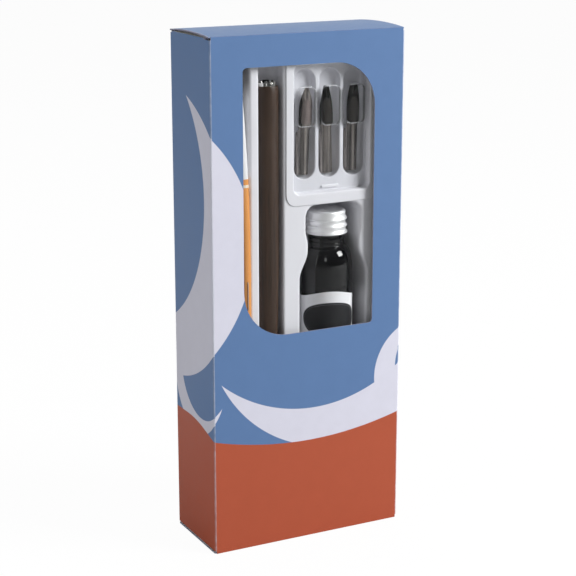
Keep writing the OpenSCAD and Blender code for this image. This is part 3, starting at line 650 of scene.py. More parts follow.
def pan_outline(grow):
    return round_rect(nib_middle - pan_half - grow, nib_middle + pan_half + grow,
                      pan_low - grow, pan_high + grow, 2.8 + grow, 6)


def flange_outline(inset):
    return round_rect(-9.4 + inset, 34.2 - inset, 147.4 + inset, 210.2 - inset, 5 - inset, 6)


def pocket_outline(middle):
    return lambda grow: round_rect(middle - pocket_half - grow, middle + pocket_half + grow,
                                   pocket_low - grow, pocket_high + grow, pocket_half - 0.01 + grow, 8)


def bar_outline(grow):
    return round_rect(8.6 - grow, 16.8 + grow, 153.9 - grow, 155.0 + grow, 0.5 + grow, 4)


pan_rows = pressed(bm, pan_outline, flange_y, pan_y - flange_y, 0.7, 0.5, 0.25, floor=False)
pocket_rows = [pressed(bm, pocket_outline(nib_middle + i * pitch), pan_y, pocket_deep, 0.5, 2.2, 0.15, 6)[0]
               for i in (-1, 0, 1)]
bar_rows = pressed(bm, bar_outline, pan_y, 0.7, 0.25, 0.2, 0.0, 3, -1)
fill(bm, [pan_rows[-1]] + pocket_rows + [bar_rows[0]], (0, -1, 0))
brim_rows = loft(bm, [[(x, flange_y + deep, z) for x, z in flange_outline(inset)]
                      for inset, deep in rounded_lip(0.45, 4)])
fill(bm, [brim_rows[0], pan_rows[0]], (0, -1, 0))
face_the_front(bm)
settle("nib_tray_sheet", bm, (white,), "carton", ("nib_tray",),
       wall=0.25, weighted=True)

# Nib cover: a thin clear sheet, formed like the trays and clipped into the pan over the nibs. It has
# a raised place for each blade.
clear, tree, pane = clear_sheet("clear cover sheet", 180.0, 0.25, 0.0006, 0.05, (0.99, 0.992, 0.995, 1), 0.01)
# Where the sheet is seen edge on, a share of white diffuse is mixed in: a painted highlight that draws bright
# outlines round the raised places.
edge_on = sum_of(tree, "POWER", shade(tree, "LayerWeight", Blend=0.5).outputs["Facing"], 4.0)
painted_edge_highlight = shade(tree, "BsdfDiffuse", Color=(0.9, 0.9, 0.93, 1)).outputs[0]
pane = shade(tree, "MixShader", in0=sum_of(tree, "MULTIPLY", edge_on, 1.2, clamp=True), in1=pane, in2=painted_edge_highlight)
feed(tree, tree.nodes["Material Output"], Surface=pane.outputs[0])
cover_y, bump_half, bump_low, bump_high, bump_rise = -13.9, 4.4, 180.4, 197.1, 2.25


def bump_outline(middle):
    return lambda grow: round_rect(middle - bump_half - grow, middle + bump_half + grow,
                                   bump_low - grow, bump_high + grow, 2.5 + grow, 6)


bm = bmesh.new()
bump_rows = [pressed(bm, bump_outline(nib_middle + i * pitch), cover_y, bump_rise, 0.35, 0.55, 0.1, 4, -1)[0]
             for i in (-1, 0, 1)]
cover_edge = round_rect(nib_middle - pan_half + 0.3, nib_middle + pan_half - 0.3,
                        pan_low + 0.3, pan_high - 0.3, 2.2, 6)
edge_row = loft(bm, [[(x, cover_y, z) for x, z in cover_edge]])[0]
fill(bm, [edge_row] + bump_rows, (0, -1, 0))
face_the_front(bm)
settle("nib_cover_sheet", bm, (clear,), "carton", ("nib_cover",),
       wall=0.22, weighted=True)

# Nibs: each pressed from dark bronzed steel, a half-tube shank drawn in at a waist and a curved
# blade with a breather hole, a slit and a broad square edge. Three widths of edge.
steel, tree, coat = blank_material("bronzed nib steel")
place = object_place(tree)
rolled = noise(tree, stretched(tree, place, (1.0, 1.0, 0.12)), 2600.0, 3.0)
stain = noise(tree, place, 160.0, 3.0)
tone = blend(tree, stain, (0.22, 0.190, 0.172, 1), (0.38, 0.342, 0.318, 1))
# Darker streaks, drawn out along the nib's length.
lengthwise_streaks = noise(tree, stretched(tree, place, (1.0, 1.0, 0.02)), 1300.0)
lengthwise_streaks = scaled(tree, lengthwise_streaks, 3.6, -1.3, clamp=True)
tone = blend(tree, lengthwise_streaks, (0.085, 0.080, 0.078, 1), tone)
spot = shade(tree, "SeparateXYZ", Vector=place).outputs
# The medium and wide nibs are nearly black above 180 mm; only the narrow nib keeps its bronze there.
nearly_black_from = 0.1800
nearly_black = scaled(tree, sum_of(tree, "SUBTRACT", spot["Z"], nearly_black_from), 900.0, 0.0, clamp=True)
bare = sum_of(tree, "MINIMUM", scaled(tree, spot["X"], 2500.0, 0.9, clamp=True),
              scaled(tree, spot["X"], -900.0, 5.4, clamp=True))
nearly_black = sum_of(tree, "MULTIPLY", nearly_black, sum_of(tree, "SUBTRACT", 1.0, bare))
tone = blend(tree, nearly_black, tone, (0.009, 0.0085, 0.008, 1))
feed(tree, coat, Base_Color=tone, Metallic=1, Roughness=scaled(tree, rolled, 0.22, 0.26),
     Normal=bump(tree, 0.25, 0.00003, rolled))

nib_r, nib_t, nib_len, blade_len, shank_len = 3.1, 0.35, 37.0, 12.0, 19.0
nib_y, nib_low = -10.1, 159.972
nib_widths = ("narrow", "medium", "wide")
nib_leans, nib_edges, nib_tapers = (2.2, -2.0, 0.5), (1.1, 2.2, 3.3), (9.0, 12.0, 10.0)
waist_r, waist_in = 1.2, 0.35
hole_r, hole_z, slit_half = 0.6, nib_len - 0.8 * blade_len, 0.1


def nib_half(z, edge, taper):
    """Half width of the nib at a height: waist cut at the shank's end, curved in towards the edge."""
    half = nib_r
    if z > nib_len - taper:
        half = edge / 2 + (nib_r - edge / 2) * math.sin(math.pi / 2 * (nib_len - z) / taper)
    if abs(z - shank_len) < waist_r:
        half = min(half, nib_r - waist_in * math.sqrt(waist_r ** 2 - (z - shank_len) ** 2))
    return half


def nib_front(x, z):
    """Depth of the nib's outer face: a half tube at the shank that flattens into the blade."""
    flat = eased_share(z, shank_len - 0.8, shank_len + 2.4)
    tube = -math.sqrt(max(nib_r ** 2 - x * x, 0.0))
    return tube * (1 - flat) + (x * x / 14.0 - nib_r) * flat


def in_pocket(i):
    """Places nib i, drawn upright at the origin, a little askew in its pocket."""
    return (Matrix.Translation((nib_middle + (i - 1) * pitch, nib_y, nib_low))
            @ Matrix.Rotation(math.radians(nib_leans[i]), 4, "Y"))


for i, word in enumerate(nib_widths):
    bm = bmesh.new()
    heights = {k * 0.5 for k in range(75)}
    heights |= {shank_len + waist_r * math.sin(math.radians(a)) for a in range(-90, 91, 15)}
    for side in (-1, 1):
        rows = []
        for z in sorted(heights):
            inner = slit_half if z > hole_z else 0.0
            turn0 = math.asin(inner / nib_r)
            turn1 = math.asin(min(1.0, nib_half(z, nib_edges[i], nib_tapers[i]) / nib_r))
            turns = [turn0 + (turn1 - turn0) * k / 10 for k in range(11)]
            rows.append([(side * nib_r * math.sin(t), nib_front(nib_r * math.sin(t), z), z) for t in turns])
        loft(bm, rows, closed=False)
    bmesh.ops.remove_doubles(bm, verts=bm.verts, dist=0.001)
    bmesh.ops.recalc_face_normals(bm, faces=bm.faces)
    if sum(face.normal.y for face in bm.faces) > 0:
        bmesh.ops.reverse_faces(bm, faces=bm.faces)
    bmesh.ops.transform(bm, matrix=in_pocket(i), verts=bm.verts)
    nib = settle("nib_" + word + "_blade", bm, (steel,), "carton", ("nib_" + word,), wall=nib_t)
    bm = bmesh.new()
    bmesh.ops.create_cone(bm, cap_ends=True, segments=24, radius1=hole_r, radius2=hole_r, depth=4,
                          matrix=in_pocket(i) @ Matrix.Translation((0, -nib_r, hole_z))
                          @ Matrix.Rotation(math.pi / 2, 4, "X"))
    drill = laid_out("drill", bm)
    hole = nib.modifiers.new("breather hole", "BOOLEAN")
    hole.object, hole.operation, hole.solver = drill, "DIFFERENCE", "EXACT"
    made_plain(nib)
    bpy.data.objects.remove(drill)
    nib.data.set_sharp_from_angle(angle=math.radians(40))

# Ink reservoirs: thin springy brass, toned brown. Each is a tongue that is slid over the front of a
# blade and holds the ink there.
brass, tree, coat = blank_material("toned brass")
place = object_place(tree)
rolled = noise(tree, stretched(tree, place, (1.0, 1.0, 0.2)), 3200.0, 3.0)
tone = blend(tree, rolled, (0.15, 0.122, 0.115, 1), (0.25, 0.208, 0.198, 1))
# The tongues on the medium and wide nibs are nearly black; only the narrow nib's is brown.
dark_tongue_from = 0.006
across = shade(tree, "SeparateXYZ", Vector=place).outputs["X"]
dark_tongues = scaled(tree, sum_of(tree, "SUBTRACT", across, dark_tongue_from), 900.0, clamp=True)
tone = blend(tree, dark_tongues, tone, (0.035, 0.031, 0.028, 1))
feed(tree, coat, Base_Color=tone, Metallic=1, Roughness=scaled(tree, rolled, 0.2, 0.28))
tongue_low, tongue_len, tongue_half, tongue_t = shank_len + 2.5, 10.0, 2.2, 0.24
for i, word in enumerate(nib_widths):
    bm = bmesh.new()
    rows = []
    for k in range(31):
        t = k / 30
        z = tongue_low + tongue_len * t
        half = tongue_half - 0.8 * max(0.0, (t - 0.6) / 0.4)
        half -= 0.5 * max(0.0, (t - 0.93) / 0.07) ** 2 + 0.5 * max(0.0, (0.05 - t) / 0.05) ** 2
        rows.append([(x, nib_front(x, z) - 0.36, z) for x in (half * (n / 6 - 1) for n in range(13))])
    loft(bm, rows, closed=False)
    face_the_front(bm)
    bmesh.ops.transform(bm, matrix=in_pocket(i), verts=bm.verts)
    settle("reservoir_" + word + "_tongue", bm, (brass,), "carton", ("nib_reservoir_" + word,),
           wall=tongue_t)


# Pen shaft: turned wood, stained dark and waxed, that tapers to a round tail. Its fore end is bored
# for the ferrule and lies in the upper part of the window.
def spun(bm, outline, x, y, segments=96, slot=0):
    """Turns an outline of radius and height about an upright axis."""
    rings = []
    for r, z in outline:
        turns = [2 * math.pi * k / segments for k in range(segments)] if r else [0.0]
        rings.append([(x + r * math.cos(a), y + r * math.sin(a), z) for a in turns])
    return loft(bm, rings, slot=slot)


wood, tree, coat = blank_material("waxed dark wood")
place = object_place(tree)
warp = noise(tree, stretched(tree, place, (1.0, 1.0, 0.022)), 640.0, 6.0, Roughness=0.7)
pores = noise(tree, stretched(tree, place, (1.0, 1.0, 0.06)), 2600.0)
streaks = shade(tree, "ValToRGB", Fac=warp)
dark_grain, light_grain = streaks.color_ramp.elements
dark_grain.position, dark_grain.color = 0.34, (0.022, 0.011, 0.006, 1)
light_grain.position, light_grain.color = 0.76, (0.082, 0.044, 0.026, 1)
fine = scaled(tree, pores, 1.1, 0.42)
stained = shade(tree, "VectorMath", {"operation": "SCALE"}, in0=streaks.outputs[0], Scale=fine).outputs[0]
feed(tree, coat, Base_Color=stained, Roughness=scaled(tree, pores, 0.3, 0.30), Specular_IOR_Level=0.35,
     Normal=bump(tree, 0.35, 0.00005, pores))

pen_y, pen_low, shaft_top = -11.85, 24.8, 198.4
pen_r, tail_r, shoulder_len = 4.9, 2.75, 3.2
ferrule_r, ferrule_low, ferrule_len = 4.0, 181.8, 18.0
shaft_len = shaft_top - pen_low
taper_len = 0.55 * shaft_len - tail_r
shaft = [(tail_r * math.sin(a), pen_low + tail_r * (1 - math.cos(a))) for a in quarter(8)]
for k in range(1, 25):
    t = k / 24
    shaft.append((tail_r + (pen_r - tail_r) * (t + 0.035 * math.sin(math.pi * t)),
                  pen_low + tail_r + taper_len * t))
shaft += [(pen_r, pen_low + shaft_len * share) for share in (0.7, 0.85, 0.975)]
shoulder_in = pen_r - ferrule_r - 0.45
shaft += [(pen_r - shoulder_in * (1 - math.cos(a)), shaft_top - shoulder_len * (1 - math.sin(a)))
          for a in quarter(9)]
shaft += [(ferrule_r + 0.2, shaft_top), (ferrule_r + 0.04, shaft_top - 0.15),
          (ferrule_r + 0.04, ferrule_low), (0, ferrule_low)]
bm = bmesh.new()
spun(bm, shaft, pen_x, pen_y)
settle("pen_shaft_wood", bm, (wood,), "carton", ("pen_shaft",), crisp=50)

# Ferrule: a short drawn tube of plated metal, pressed into the shaft's bore. Its rolled mouth
# stands a little out of the wood.
plated, tree, coat = blank_material("plated ferrule")
place = object_place(tree)
drawn_lines = noise(tree, stretched(tree, place, (0.1, 0.1, 1.0)), 4000.0)
feed(tree, coat, Base_Color=(0.68, 0.67, 0.64, 1), Metallic=1,
     Roughness=scaled(tree, drawn_lines, 0.16, 0.10))
ferrule_top, ferrule_t = ferrule_low + ferrule_len, 0.35
mouth = arc(ferrule_r - ferrule_t / 2, ferrule_top - ferrule_t / 2, ferrule_t / 2, 0, 180, 8)
bm = bmesh.new()
spun(bm, [(0, ferrule_low), (ferrule_r - 0.3, ferrule_low), (ferrule_r, ferrule_low + 0.3)] + mouth
     + [(ferrule_r - ferrule_t, ferrule_low + 0.5), (0, ferrule_low + 0.5)], pen_x, pen_y)
settle("pen_ferrule_tube", bm, (plated,), "carton", ("pen_ferrule",))


# Nib clamp: four sprung steel petals on a plug inside the ferrule, round which a nib's shank is
# pushed. The petals are one petal repeated round the bore.
def kit(name, inputs):
    """Starts a Geometry Nodes tree with named inputs, after its geometry."""
    tree = bpy.data.node_groups.new(name, "GeometryNodeTree")
    tree.interface.new_socket("Geometry", in_out="INPUT", socket_type="NodeSocketGeometry")
    for label, kind in inputs:
        tree.interface.new_socket(label, in_out="INPUT", socket_type="NodeSocket" + kind)
    tree.interface.new_socket("Geometry", in_out="OUTPUT", socket_type="NodeSocketGeometry")
    return tree, tree.nodes.new("NodeGroupInput").outputs


def run_kit(name, bm, tree, geometry, finish, values, body, stands_for):
    """Ends a tree in realized, finished geometry, runs it on a mesh and keeps the plain result."""
    real = part(tree, "GeometryNodeRealizeInstances", in0=geometry)
    dressed = part(tree, "GeometryNodeSetMaterial", Geometry=real.outputs[0], Material=finish)
    tree.links.new(dressed.outputs[0], tree.nodes.new("NodeGroupOutput").inputs[0])
    piece = laid_out(name, bm)
    runner = piece.modifiers.new("kit", "NODES")
    runner.node_group = tree
    for item in tree.interface.items_tree:
        if item.in_out == "INPUT" and item.name in values:
            runner[item.identifier] = values[item.name]
    made_plain(piece)
    smoothed(piece, 40)
    hand_over(piece, body, stands_for)


spring, tree, coat = blank_material("spring steel")
worn = noise(tree, object_place(tree), 1500.0, 3.0)
tone = blend(tree, worn, (0.16, 0.155, 0.15, 1), (0.42, 0.41, 0.40, 1))
feed(tree, coat, Base_Color=tone, Metallic=1, Roughness=scaled(tree, worn, 0.2, 0.16))

tree, given = kit("petals round the bore", [("Petals", "Int"), ("Centre", "Vector"), ("Turn", "Float")])
spots = part(tree, "GeometryNodeMeshLine", Count=given["Petals"], Offset=(0, 0, 0))
share = sum_of(tree, "DIVIDE", part(tree, "GeometryNodeInputIndex").outputs[0], given["Petals"])
turn = scaled(tree, share, 2 * math.pi, given["Turn"])
spin = shade(tree, "CombineXYZ", Z=turn).outputs[0]
ring = part(tree, "GeometryNodeInstanceOnPoints", Points=spots.outputs[0], Instance=given["Geometry"],
            Rotation=spin)
placed = part(tree, "GeometryNodeTransform", Geometry=ring.outputs[0], Translation=given["Centre"])
clamp_low = ferrule_low + 0.5
petals, petal_r, petal_t, petal_len, petal_gap = 4, 3.03, 0.34, 18.1, 1.0
half_turn = math.pi / petals - petal_gap / 2 / petal_r


def petal_wall(r_off):
    """One face of a petal: bowed outwards in its length, drawn in and rounded at its free end."""
    rows = []
    for k in range(25):
        t = k / 24
        r = petal_r + r_off + 0.12 * math.sin(math.pi * t) - 1.25 * max(0.0, t - 0.9)
        taper = half_turn * (1 - 0.22 * max(0.0, (t - 0.93) / 0.07) ** 2)
        rows.append([bm.verts.new((r * math.cos(a), r * math.sin(a), petal_len * t))
                     for a in (taper * (n / 5 - 1) for n in range(11))])
    return rows


def closed_sheet(bm, outer, inner):
    """Makes a sheet of two walls of points, which are joined round their edges."""
    span(bm, outer, closed=False)
    span(bm, [row[::-1] for row in inner], closed=False)
    span(bm, [[row[0] for row in wall] + wall[-1][1:] + [row[-1] for row in wall[-2::-1]] + wall[0][-2:0:-1]
              for wall in (outer, inner)])
    bmesh.ops.recalc_face_normals(bm, faces=bm.faces)


bm = bmesh.new()
closed_sheet(bm, petal_wall(0.0), petal_wall(-petal_t))
run_kit("nib_clamp_petals", bm, tree, placed.outputs[0], spring,
        {"Petals": petals, "Centre": (pen_x / 1000, pen_y / 1000, clamp_low / 1000),
         "Turn": math.radians(75)},
        "carton", ("nib_clamp",))
plug_r = 3.58
bm = bmesh.new()
spun(bm, [(0, clamp_low), (plug_r - 0.13, clamp_low), (plug_r, clamp_low + 0.15), (plug_r, clamp_low + 1.7),
          (plug_r - 0.18, clamp_low + 1.9), (0, clamp_low + 1.9)], pen_x, pen_y, 48)
settle("nib_clamp_plug", bm, (spring,), "carton", ("nib_clamp",))

# Ink bottle: moulded glass, nearly filled with black ink that also wets its shoulder and neck, so
# it looks black. The screw thread runs round its neck.
glass, tree, coat = blank_material("ink bottle glass")
wave = noise(tree, object_place(tree), 70.0, 1.0)
tint = blend(tree, wave, (0.0010, 0.0010, 0.0014, 1), (0.0022, 0.0022, 0.0030, 1))
feed(tree, coat, Base_Color=tint, IOR=1.5, Specular_IOR_Level=0.45,
     Roughness=scaled(tree, wave, 0.04, 0.01), Normal=bump(tree, 0.15, 0.0008, wave))

bottle_x, bottle_y, bottle_low, lip_z = 14.9, -6.85, 81.1, 141.5
bottle_r, shoulder_low, shoulder_top = 11.35, 117.8, 127.3
neck_r, mouth_r, glass_t, foot_r = 7.0, 4.7, 1.7, 1.6


def bottle_side(inset):
    """Foot, wall and round shoulder of the bottle; an inset gives the wall's inner face."""
    drop = bottle_r - neck_r - 1
    side = [(bottle_r - inset - foot_r * (1 - math.sin(a)), bottle_low + inset + foot_r * (1 - math.cos(a)))
            for a in quarter(8)]
    side.append((bottle_r - inset, (bottle_low + shoulder_low) / 2))
    side += [(bottle_r - inset - drop * (1 - math.cos(a)),
              shoulder_low + (shoulder_top - shoulder_low) * math.sin(a) * (1 - inset / 12))
             for a in quarter(15)]
    return side


outer_side = [(0, bottle_low + 0.5), (7.5, bottle_low + 0.35), (8.6, bottle_low)] + bottle_side(0)[1:]
collar = [(7.7, 0.3), (7.6, 0.6), (7.72, 0.85), (7.72, 1.9), (7.6, 2.1), (7.2, 2.2), (7.2, 2.4),
          (7.8, 2.6), (7.9, 3.0), (7.9, 3.6), (7.8, 3.95), (7.4, 4.1), (neck_r, 4.3)]
outer_side += [(r, shoulder_top + rise) for r, rise in collar]
outer_side += [(neck_r, lip_z - 0.5), (neck_r - 0.15, lip_z - 0.15), (neck_r - 0.5, lip_z),
               (mouth_r + 0.4, lip_z), (mouth_r + 0.1, lip_z - 0.1), (mouth_r, lip_z - 0.4)]
inner_side = [(mouth_r, shoulder_top + 1.1)]
inner_side += [(r - 0.01, z) for r, z in reversed(bottle_side(glass_t)) if r > mouth_r + 0.2]
inner_side.append((0, bottle_low + glass_t))
bm = bmesh.new()
spun(bm, outer_side + inner_side, bottle_x, bottle_y, 128)
settle("bottle_glass_body", bm, (glass,), "carton", ("bottle_glass",), crisp=50)

tree, given = kit("screw thread", [
    ("Turns", "Float"), ("Pitch", "Float"), ("Radius", "Float"), ("Bead", "Float"), ("Foot", "Vector")])
coil = part(tree, "GeometryNodeCurveSpiral", Resolution=64, Rotations=given["Turns"],
            Start_Radius=given["Radius"], End_Radius=given["Radius"],
            Height=sum_of(tree, "MULTIPLY", given["Turns"], given["Pitch"]))
along = part(tree, "GeometryNodeSplineParameter").outputs["Factor"]
fade = sum_of(tree, "MULTIPLY", sum_of(tree, "PINGPONG", along, 0.5), 9.0, clamp=True)
thick = part(tree, "GeometryNodeSetCurveRadius", Curve=coil.outputs[0],
             Radius=sum_of(tree, "MAXIMUM", fade, 0.08))
round_bead = part(tree, "GeometryNodeCurvePrimitiveCircle", Resolution=12, Radius=given["Bead"])
swept = part(tree, "GeometryNodeCurveToMesh", Curve=thick.outputs[0], Profile_Curve=round_bead.outputs[0],
             Fill_Caps=True)
lifted = part(tree, "GeometryNodeTransform", Geometry=swept.outputs[0], Translation=given["Foot"])
run_kit("bottle_thread", bmesh.new(), tree, lifted.outputs[0], glass,
        {"Turns": 1.6, "Pitch": 0.0032, "Radius": 0.0072, "Bead": 0.00055,
         "Foot": (bottle_x / 1000, bottle_y / 1000, 0.1343)}, "carton", ("bottle_glass",))

# Ink: black and thin, filled up to just under the bottle's shoulder. It creeps up a little where it
# meets the glass.
black, tree, coat = blank_material("black ink")
swirl = noise(tree, object_place(tree), 90.0)
tone = blend(tree, swirl, (0.003, 0.003, 0.005, 1), (0.007, 0.007, 0.010, 1))
feed(tree, coat, Base_Color=tone, Roughness=0.06)
ink_gap = 0.05
ink_r, level_z = bottle_r - glass_t - ink_gap, shoulder_low - 1
ink_side = [(0, bottle_low + glass_t + ink_gap)]
ink_side += [(r - ink_gap, z + ink_gap) for r, z in bottle_side(glass_t) if z < level_z - 0.6]
ink_side += [(ink_r, level_z), (ink_r - 0.5, level_z - 0.35),
             (ink_r - 1.5, level_z - 0.5), (0, level_z - 0.5)]
bm = bmesh.new()
spun(bm, ink_side, bottle_x, bottle_y)
settle("ink_fill", bm, (black,), "carton", ("ink",))

# Label: paper glued round the front of the bottle's body, with an arched top edge. It is printed
# silver grey round a dark oval field.
label_paper, tree, coat = blank_material("label paper")
flat_place = shade(tree, "UVMap", {"uv_map": "flat"}).outputs[0]
split = shade(tree, "SeparateXYZ", Vector=flat_place).outputs
label_h, label_arch, label_rise = 24.0, 5.5, 4.0
label_turn, label_half = math.radians(16), math.radians(100)
field_z = 11.2


def oval(half_x, half_z):
    """1 inside an oval round the middle of the field and 0 outside it, in millimetres of flat paper."""
    dx = sum_of(tree, "DIVIDE", split[0], half_x)
    dz = sum_of(tree, "DIVIDE", sum_of(tree, "SUBTRACT", split[1], field_z), half_z)
    far = scaled(tree, dx, dx, sum_of(tree, "MULTIPLY", dz, dz))
    return scaled(tree, sum_of(tree, "SUBTRACT", 1.0, far), 28.0, 0.5, clamp=True)


line = sum_of(tree, "SUBTRACT", oval(13.1, 7.2), oval(12.85, 6.95))
paper = blend(tree, oval(13.9, 7.9), (0.78, 0.78, 0.80, 1), (0.012, 0.012, 0.014, 1))
paper = blend(tree, line, paper, (0.10, 0.10, 0.105, 1))
paper, relief, haze = paper_grain(tree, paper, object_place(tree), 0.3, 0.12, 3000.0)
feed(tree, coat, Base_Color=paper, Normal=relief, Roughness=scaled(tree, haze, 0.2, 0.42),
     Specular_IOR_Level=0.25)

bm = bmesh.new()
label_low, inner_r, label_t = bottle_low + label_rise, bottle_r + 0.04, 0.12
half_chord = 1.25 * inner_r
arch_r = (half_chord ** 2 + label_arch ** 2) / (2 * label_arch)
walls = []
for wall_r in (inner_r + label_t, inner_r):
    wall = []
    for k in range(65):
        a = label_half * (k / 32 - 1)
        top = label_h - arch_r + math.sqrt(arch_r ** 2 - (wall_r * math.sin(a)) ** 2)
        x = bottle_x + wall_r * math.sin(a - label_turn)
        y = bottle_y - wall_r * math.cos(a - label_turn)
        wall.append([bm.verts.new((x, y, label_low + top * n / 6)) for n in range(7)])
    walls.append(wall)
closed_sheet(bm, *walls)
flat = bm.loops.layers.uv.new("flat")
for face in bm.faces:
    for loop in face.loops:
        turned = math.atan2(loop.vert.co.x - bottle_x, bottle_y - loop.vert.co.y)
        loop[flat].uv = ((turned + label_turn) * inner_r, loop.vert.co.z - label_low)
settle("bottle_label_paper", bm, (label_paper,), "carton", ("bottle_label",))

# Screw cap: drawn from aluminium sheet, with three rolled beads that grip the thread and a rounded
# top edge.
aluminium, tree, coat = blank_material("rolled aluminium")
place = object_place(tree)
turned_lines = noise(tree, stretched(tree, place, (0.06, 0.06, 1.0)), 3800.0, 3.0)
smudge = noise(tree, place, 220.0, 3.0)
tone = blend(tree, smudge, (0.90, 0.90, 0.91, 1), (0.97, 0.97, 0.97, 1))
rough = scaled(tree, turned_lines, 0.20, scaled(tree, smudge, 0.12, 0.33))
feed(tree, coat, Base_Color=tone, Metallic=0.75, Roughness=rough,
     Normal=bump(tree, 0.18, 0.00003, turned_lines))

cap_low, cap_top, cap_r, bead_r, bead_pitch = 132.9, 143.1, 9.2, 0.45, 3.0
skirt_r = cap_r - bead_r
cap_side = [(skirt_r - 0.55, cap_low + 0.1), (skirt_r - 0.35, cap_low), (skirt_r, cap_low)]
for k in range(3):
    middle, here_r = cap_low + bead_r + bead_pitch * k, skirt_r - 0.14 * k
    cap_side += arc(here_r, middle, bead_r, -75, 75, 6)
    if k < 2:
        cap_side += [(here_r - 0.36 + 0.28 * abs(n) / 3, middle + bead_pitch / 2 + 0.42 * n)
                     for n in (-2, -1, 0, 1, 2)]
crown_r, round_r, cap_t = skirt_r - 0.42, 1.0, 0.46
cap_side += [(crown_r - 0.1, cap_top - 2.2)] + arc(crown_r - round_r, cap_top - round_r, round_r, 0, 90, 8)
cap_side += [(crown_r - 1.5, cap_top - 0.02), (crown_r - 2.0, cap_top - 0.14), (0, cap_top - 0.14)]
cap_inner = [(0, cap_top - 0.14 - cap_t), (skirt_r - 1.4, cap_top - 0.14 - cap_t),
             (skirt_r - 0.75, cap_top - 1.2), (skirt_r - 0.62, cap_top - 2.0)]
bm = bmesh.new()
spun(bm, cap_side + cap_inner + [cap_side[0]], bottle_x, bottle_y, 128)
bmesh.ops.remove_doubles(bm, verts=bm.verts, dist=0.0001)
settle("screw_cap_shell", bm, (aluminium,), "cap", ("screw_cap",))

# Cap liner: a wad of closed foam, cut round and pushed into the cap's top. It seals the bottle's
# lip when the cap is screwed down.
foam, tree, coat = blank_material("liner foam")
cells = shade(tree, "TexVoronoi", Vector=object_place(tree), Scale=2600.0).outputs["Distance"]
feed(tree, coat, Base_Color=blend(tree, cells, (0.62, 0.60, 0.54, 1), (0.84, 0.82, 0.75, 1)),
     Roughness=0.8, Normal=bump(tree, 0.5, 0.00006, cells))
liner_r = skirt_r - 0.7
bm = bmesh.new()
spun(bm, [(0, lip_z + 0.02), (liner_r - 0.15, lip_z + 0.02), (liner_r, lip_z + 0.15), (liner_r, lip_z + 0.8),
          (liner_r - 0.15, lip_z + 0.95), (0, lip_z + 0.95)], bottle_x, bottle_y, 64)
settle("cap_liner_wad", bm, (foam,), "liner", ("cap_liner",))

# Booklet cover: printed paper folded round the leaves. The booklet stands in the pocket left of the
# tray with its fold to the window, and its top leans away from the tray.
book_right, book_t, book_front, book_w, book_low, book_top = -26.1, 3.8, -18.0, 34.0, 1.8, 196.7
lean_from, lean_by = 118.0, 3.5


def lean(z):
    """How far the booklet has leant to the left at a height."""
    return lean_by * (max(0.0, z - lean_from) / (book_top - lean_from)) ** 2


heights = [book_low, 60.0] + [lean_from + (book_top - lean_from) * k / 14 for k in range(15)]
cover_print, tree, coat = blank_material("booklet cover paper")
place = object_place(tree)
up = shade(tree, "SeparateXYZ", Vector=place).outputs["Z"]
white_from, line_z, line_half = 0.1615, 0.1585, 0.0006
edge = scaled(tree, sum_of(tree, "SUBTRACT", up, white_from), 9000.0, 0.5, clamp=True)
line = sum_of(tree, "LESS_THAN", sum_of(tree, "ABSOLUTE", sum_of(tree, "SUBTRACT", up, line_z)), line_half)
paper = blend(tree, edge, (0.72, 0.30, 0.075, 1), (0.76, 0.76, 0.77, 1))
paper = blend(tree, line, paper, (0.80, 0.72, 0.60, 1))
paper, relief, haze = paper_grain(tree, paper, place, 0.3, 0.10, 2400.0)
feed(tree, coat, Base_Color=paper, Normal=relief, Roughness=scaled(tree, haze, 0.15, 0.34))

spine_r, fold_deep, fold_end = book_t / 2, book_t / 2 * 0.55, book_front + 12
book_middle, book_back = book_right - spine_r, book_front + book_w
bend = [(-spine_r, book_back), (-spine_r, fold_end)]
bend += [(spine_r * math.cos(a), book_front + fold_deep * (1 + math.sin(a)))
         for a in (math.radians(180 + 15 * k) for k in range(13))]
bend += [(spine_r, fold_end), (spine_r, book_back)]
bm = bmesh.new()
loft(bm, [[(book_middle + u - lean(z), y, z) for u, y in bend] for z in heights], closed=False)
turn_outwards(bm)
settle("booklet_cover_sheet", bm, (cover_print,), "carton", ("booklet_cover",),
       wall=0.28)

# Booklet pages: thin leaves of white paper in a stack, of which the outer ones stand back a little
# at the fold.
page = bare_paper("booklet page paper", (0.77, 0.76, 0.73), 0.6, 0.10, 2000.0, 0.8)
leaves, leaf_t = 18, 0.11
tree, given = kit("stack of leaves", [("Leaves", "Int"), ("Pitch", "Float"), ("Creep", "Float")])
step = shade(tree, "CombineXYZ", X=given["Pitch"]).outputs[0]
spots = part(tree, "GeometryNodeMeshLine", Count=given["Leaves"], Offset=step)
last = sum_of(tree, "SUBTRACT", given["Leaves"], 1.0)
share = sum_of(tree, "DIVIDE", part(tree, "GeometryNodeInputIndex").outputs[0], last)
off_middle = sum_of(tree, "ABSOLUTE", sum_of(tree, "SUBTRACT", share, 0.5))
shift = shade(tree, "CombineXYZ", Y=sum_of(tree, "MULTIPLY", off_middle, given["Creep"])).outputs[0]
crept = part(tree, "GeometryNodeSetPosition", Geometry=spots.outputs[0], Offset=shift)
stack = part(tree, "GeometryNodeInstanceOnPoints", Points=crept.outputs[0], Instance=given["Geometry"])
bm = bmesh.new()
cover_room = 0.42
leaf_left = book_middle - spine_r + cover_room
leaf_right, leaf_front, leaf_back = leaf_left + leaf_t, book_front + 0.9, book_back - 1.3
corners = ((leaf_left, leaf_front), (leaf_right, leaf_front), (leaf_right, leaf_back), (leaf_left, leaf_back))
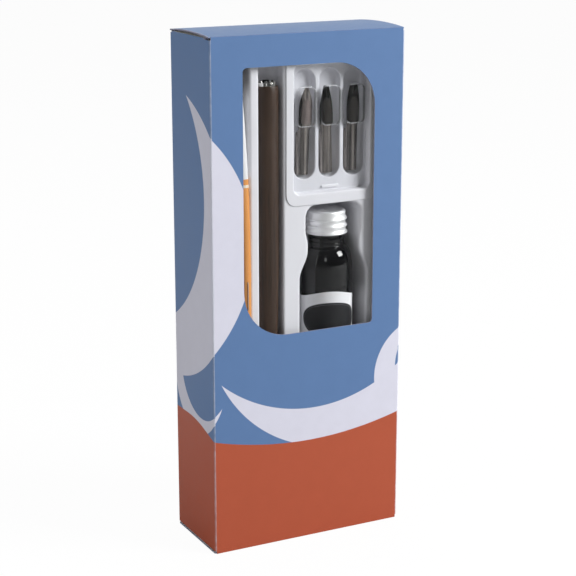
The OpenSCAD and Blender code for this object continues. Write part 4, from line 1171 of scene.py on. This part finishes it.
rows = loft(bm, [[(x - lean(z), y, z) for x, y in corners]
                 for z in [book_low + 0.1] + heights[1:-1] + [book_top - 0.35]])
fill(bm, [rows[0]], (0, 0, -1))
fill(bm, [rows[-1]], (0, 0, 1))
bmesh.ops.recalc_face_normals(bm, faces=bm.faces)
leaf_pitch = (book_t - 2 * cover_room - leaf_t) / (leaves - 1)
run_kit("booklet_leaves", bm, tree, stack.outputs[0], page,
        {"Leaves": leaves, "Pitch": leaf_pitch / 1000, "Creep": 0.0012},
        "carton", ("booklet_pages",))

# Staples: two steel wires, driven through the fold of the cover and the leaves and bent over
# inside.
wire, tree, coat = blank_material("staple wire")
scratch = noise(tree, object_place(tree), 2600.0)
feed(tree, coat, Base_Color=(0.62, 0.61, 0.60, 1), Metallic=1, Roughness=scaled(tree, scratch, 0.2, 0.2))
tree, given = kit("wire along a path", [("Wire", "Float"), ("Bend", "Float")])
path = part(tree, "GeometryNodeMeshToCurve", Mesh=given["Geometry"])
soft_path = part(tree, "GeometryNodeFilletCurve", {"mode": "POLY"}, Curve=path.outputs[0],
                 Radius=given["Bend"], Count=4)
round_wire = part(tree, "GeometryNodeCurvePrimitiveCircle", Resolution=10, Radius=given["Wire"])
drawn_wire = part(tree, "GeometryNodeCurveToMesh", Curve=soft_path.outputs[0],
                  Profile_Curve=round_wire.outputs[0], Fill_Caps=True)
wire_r, staple_len, staple_leg = 0.18, 12.0, 1.2
bm = bmesh.new()
for height_share in (0.25, 0.6):
    top = height_share * book_top
    x = book_middle - lean(top - staple_len / 2)
    bends = [(x, book_front + staple_leg, top), (x, book_front - wire_r, top),
             (x, book_front - wire_r, top - staple_len), (x, book_front + staple_leg, top - staple_len)]
    verts = [bm.verts.new(bend_at) for bend_at in bends]
    for start, end in zip(verts, verts[1:]):
        bm.edges.new((start, end))
run_kit("booklet_staple_wires", bm, tree, drawn_wire.outputs[0], wire,
        {"Wire": wire_r / 1000, "Bend": 0.0005},
        "carton", ("booklet_staples",))
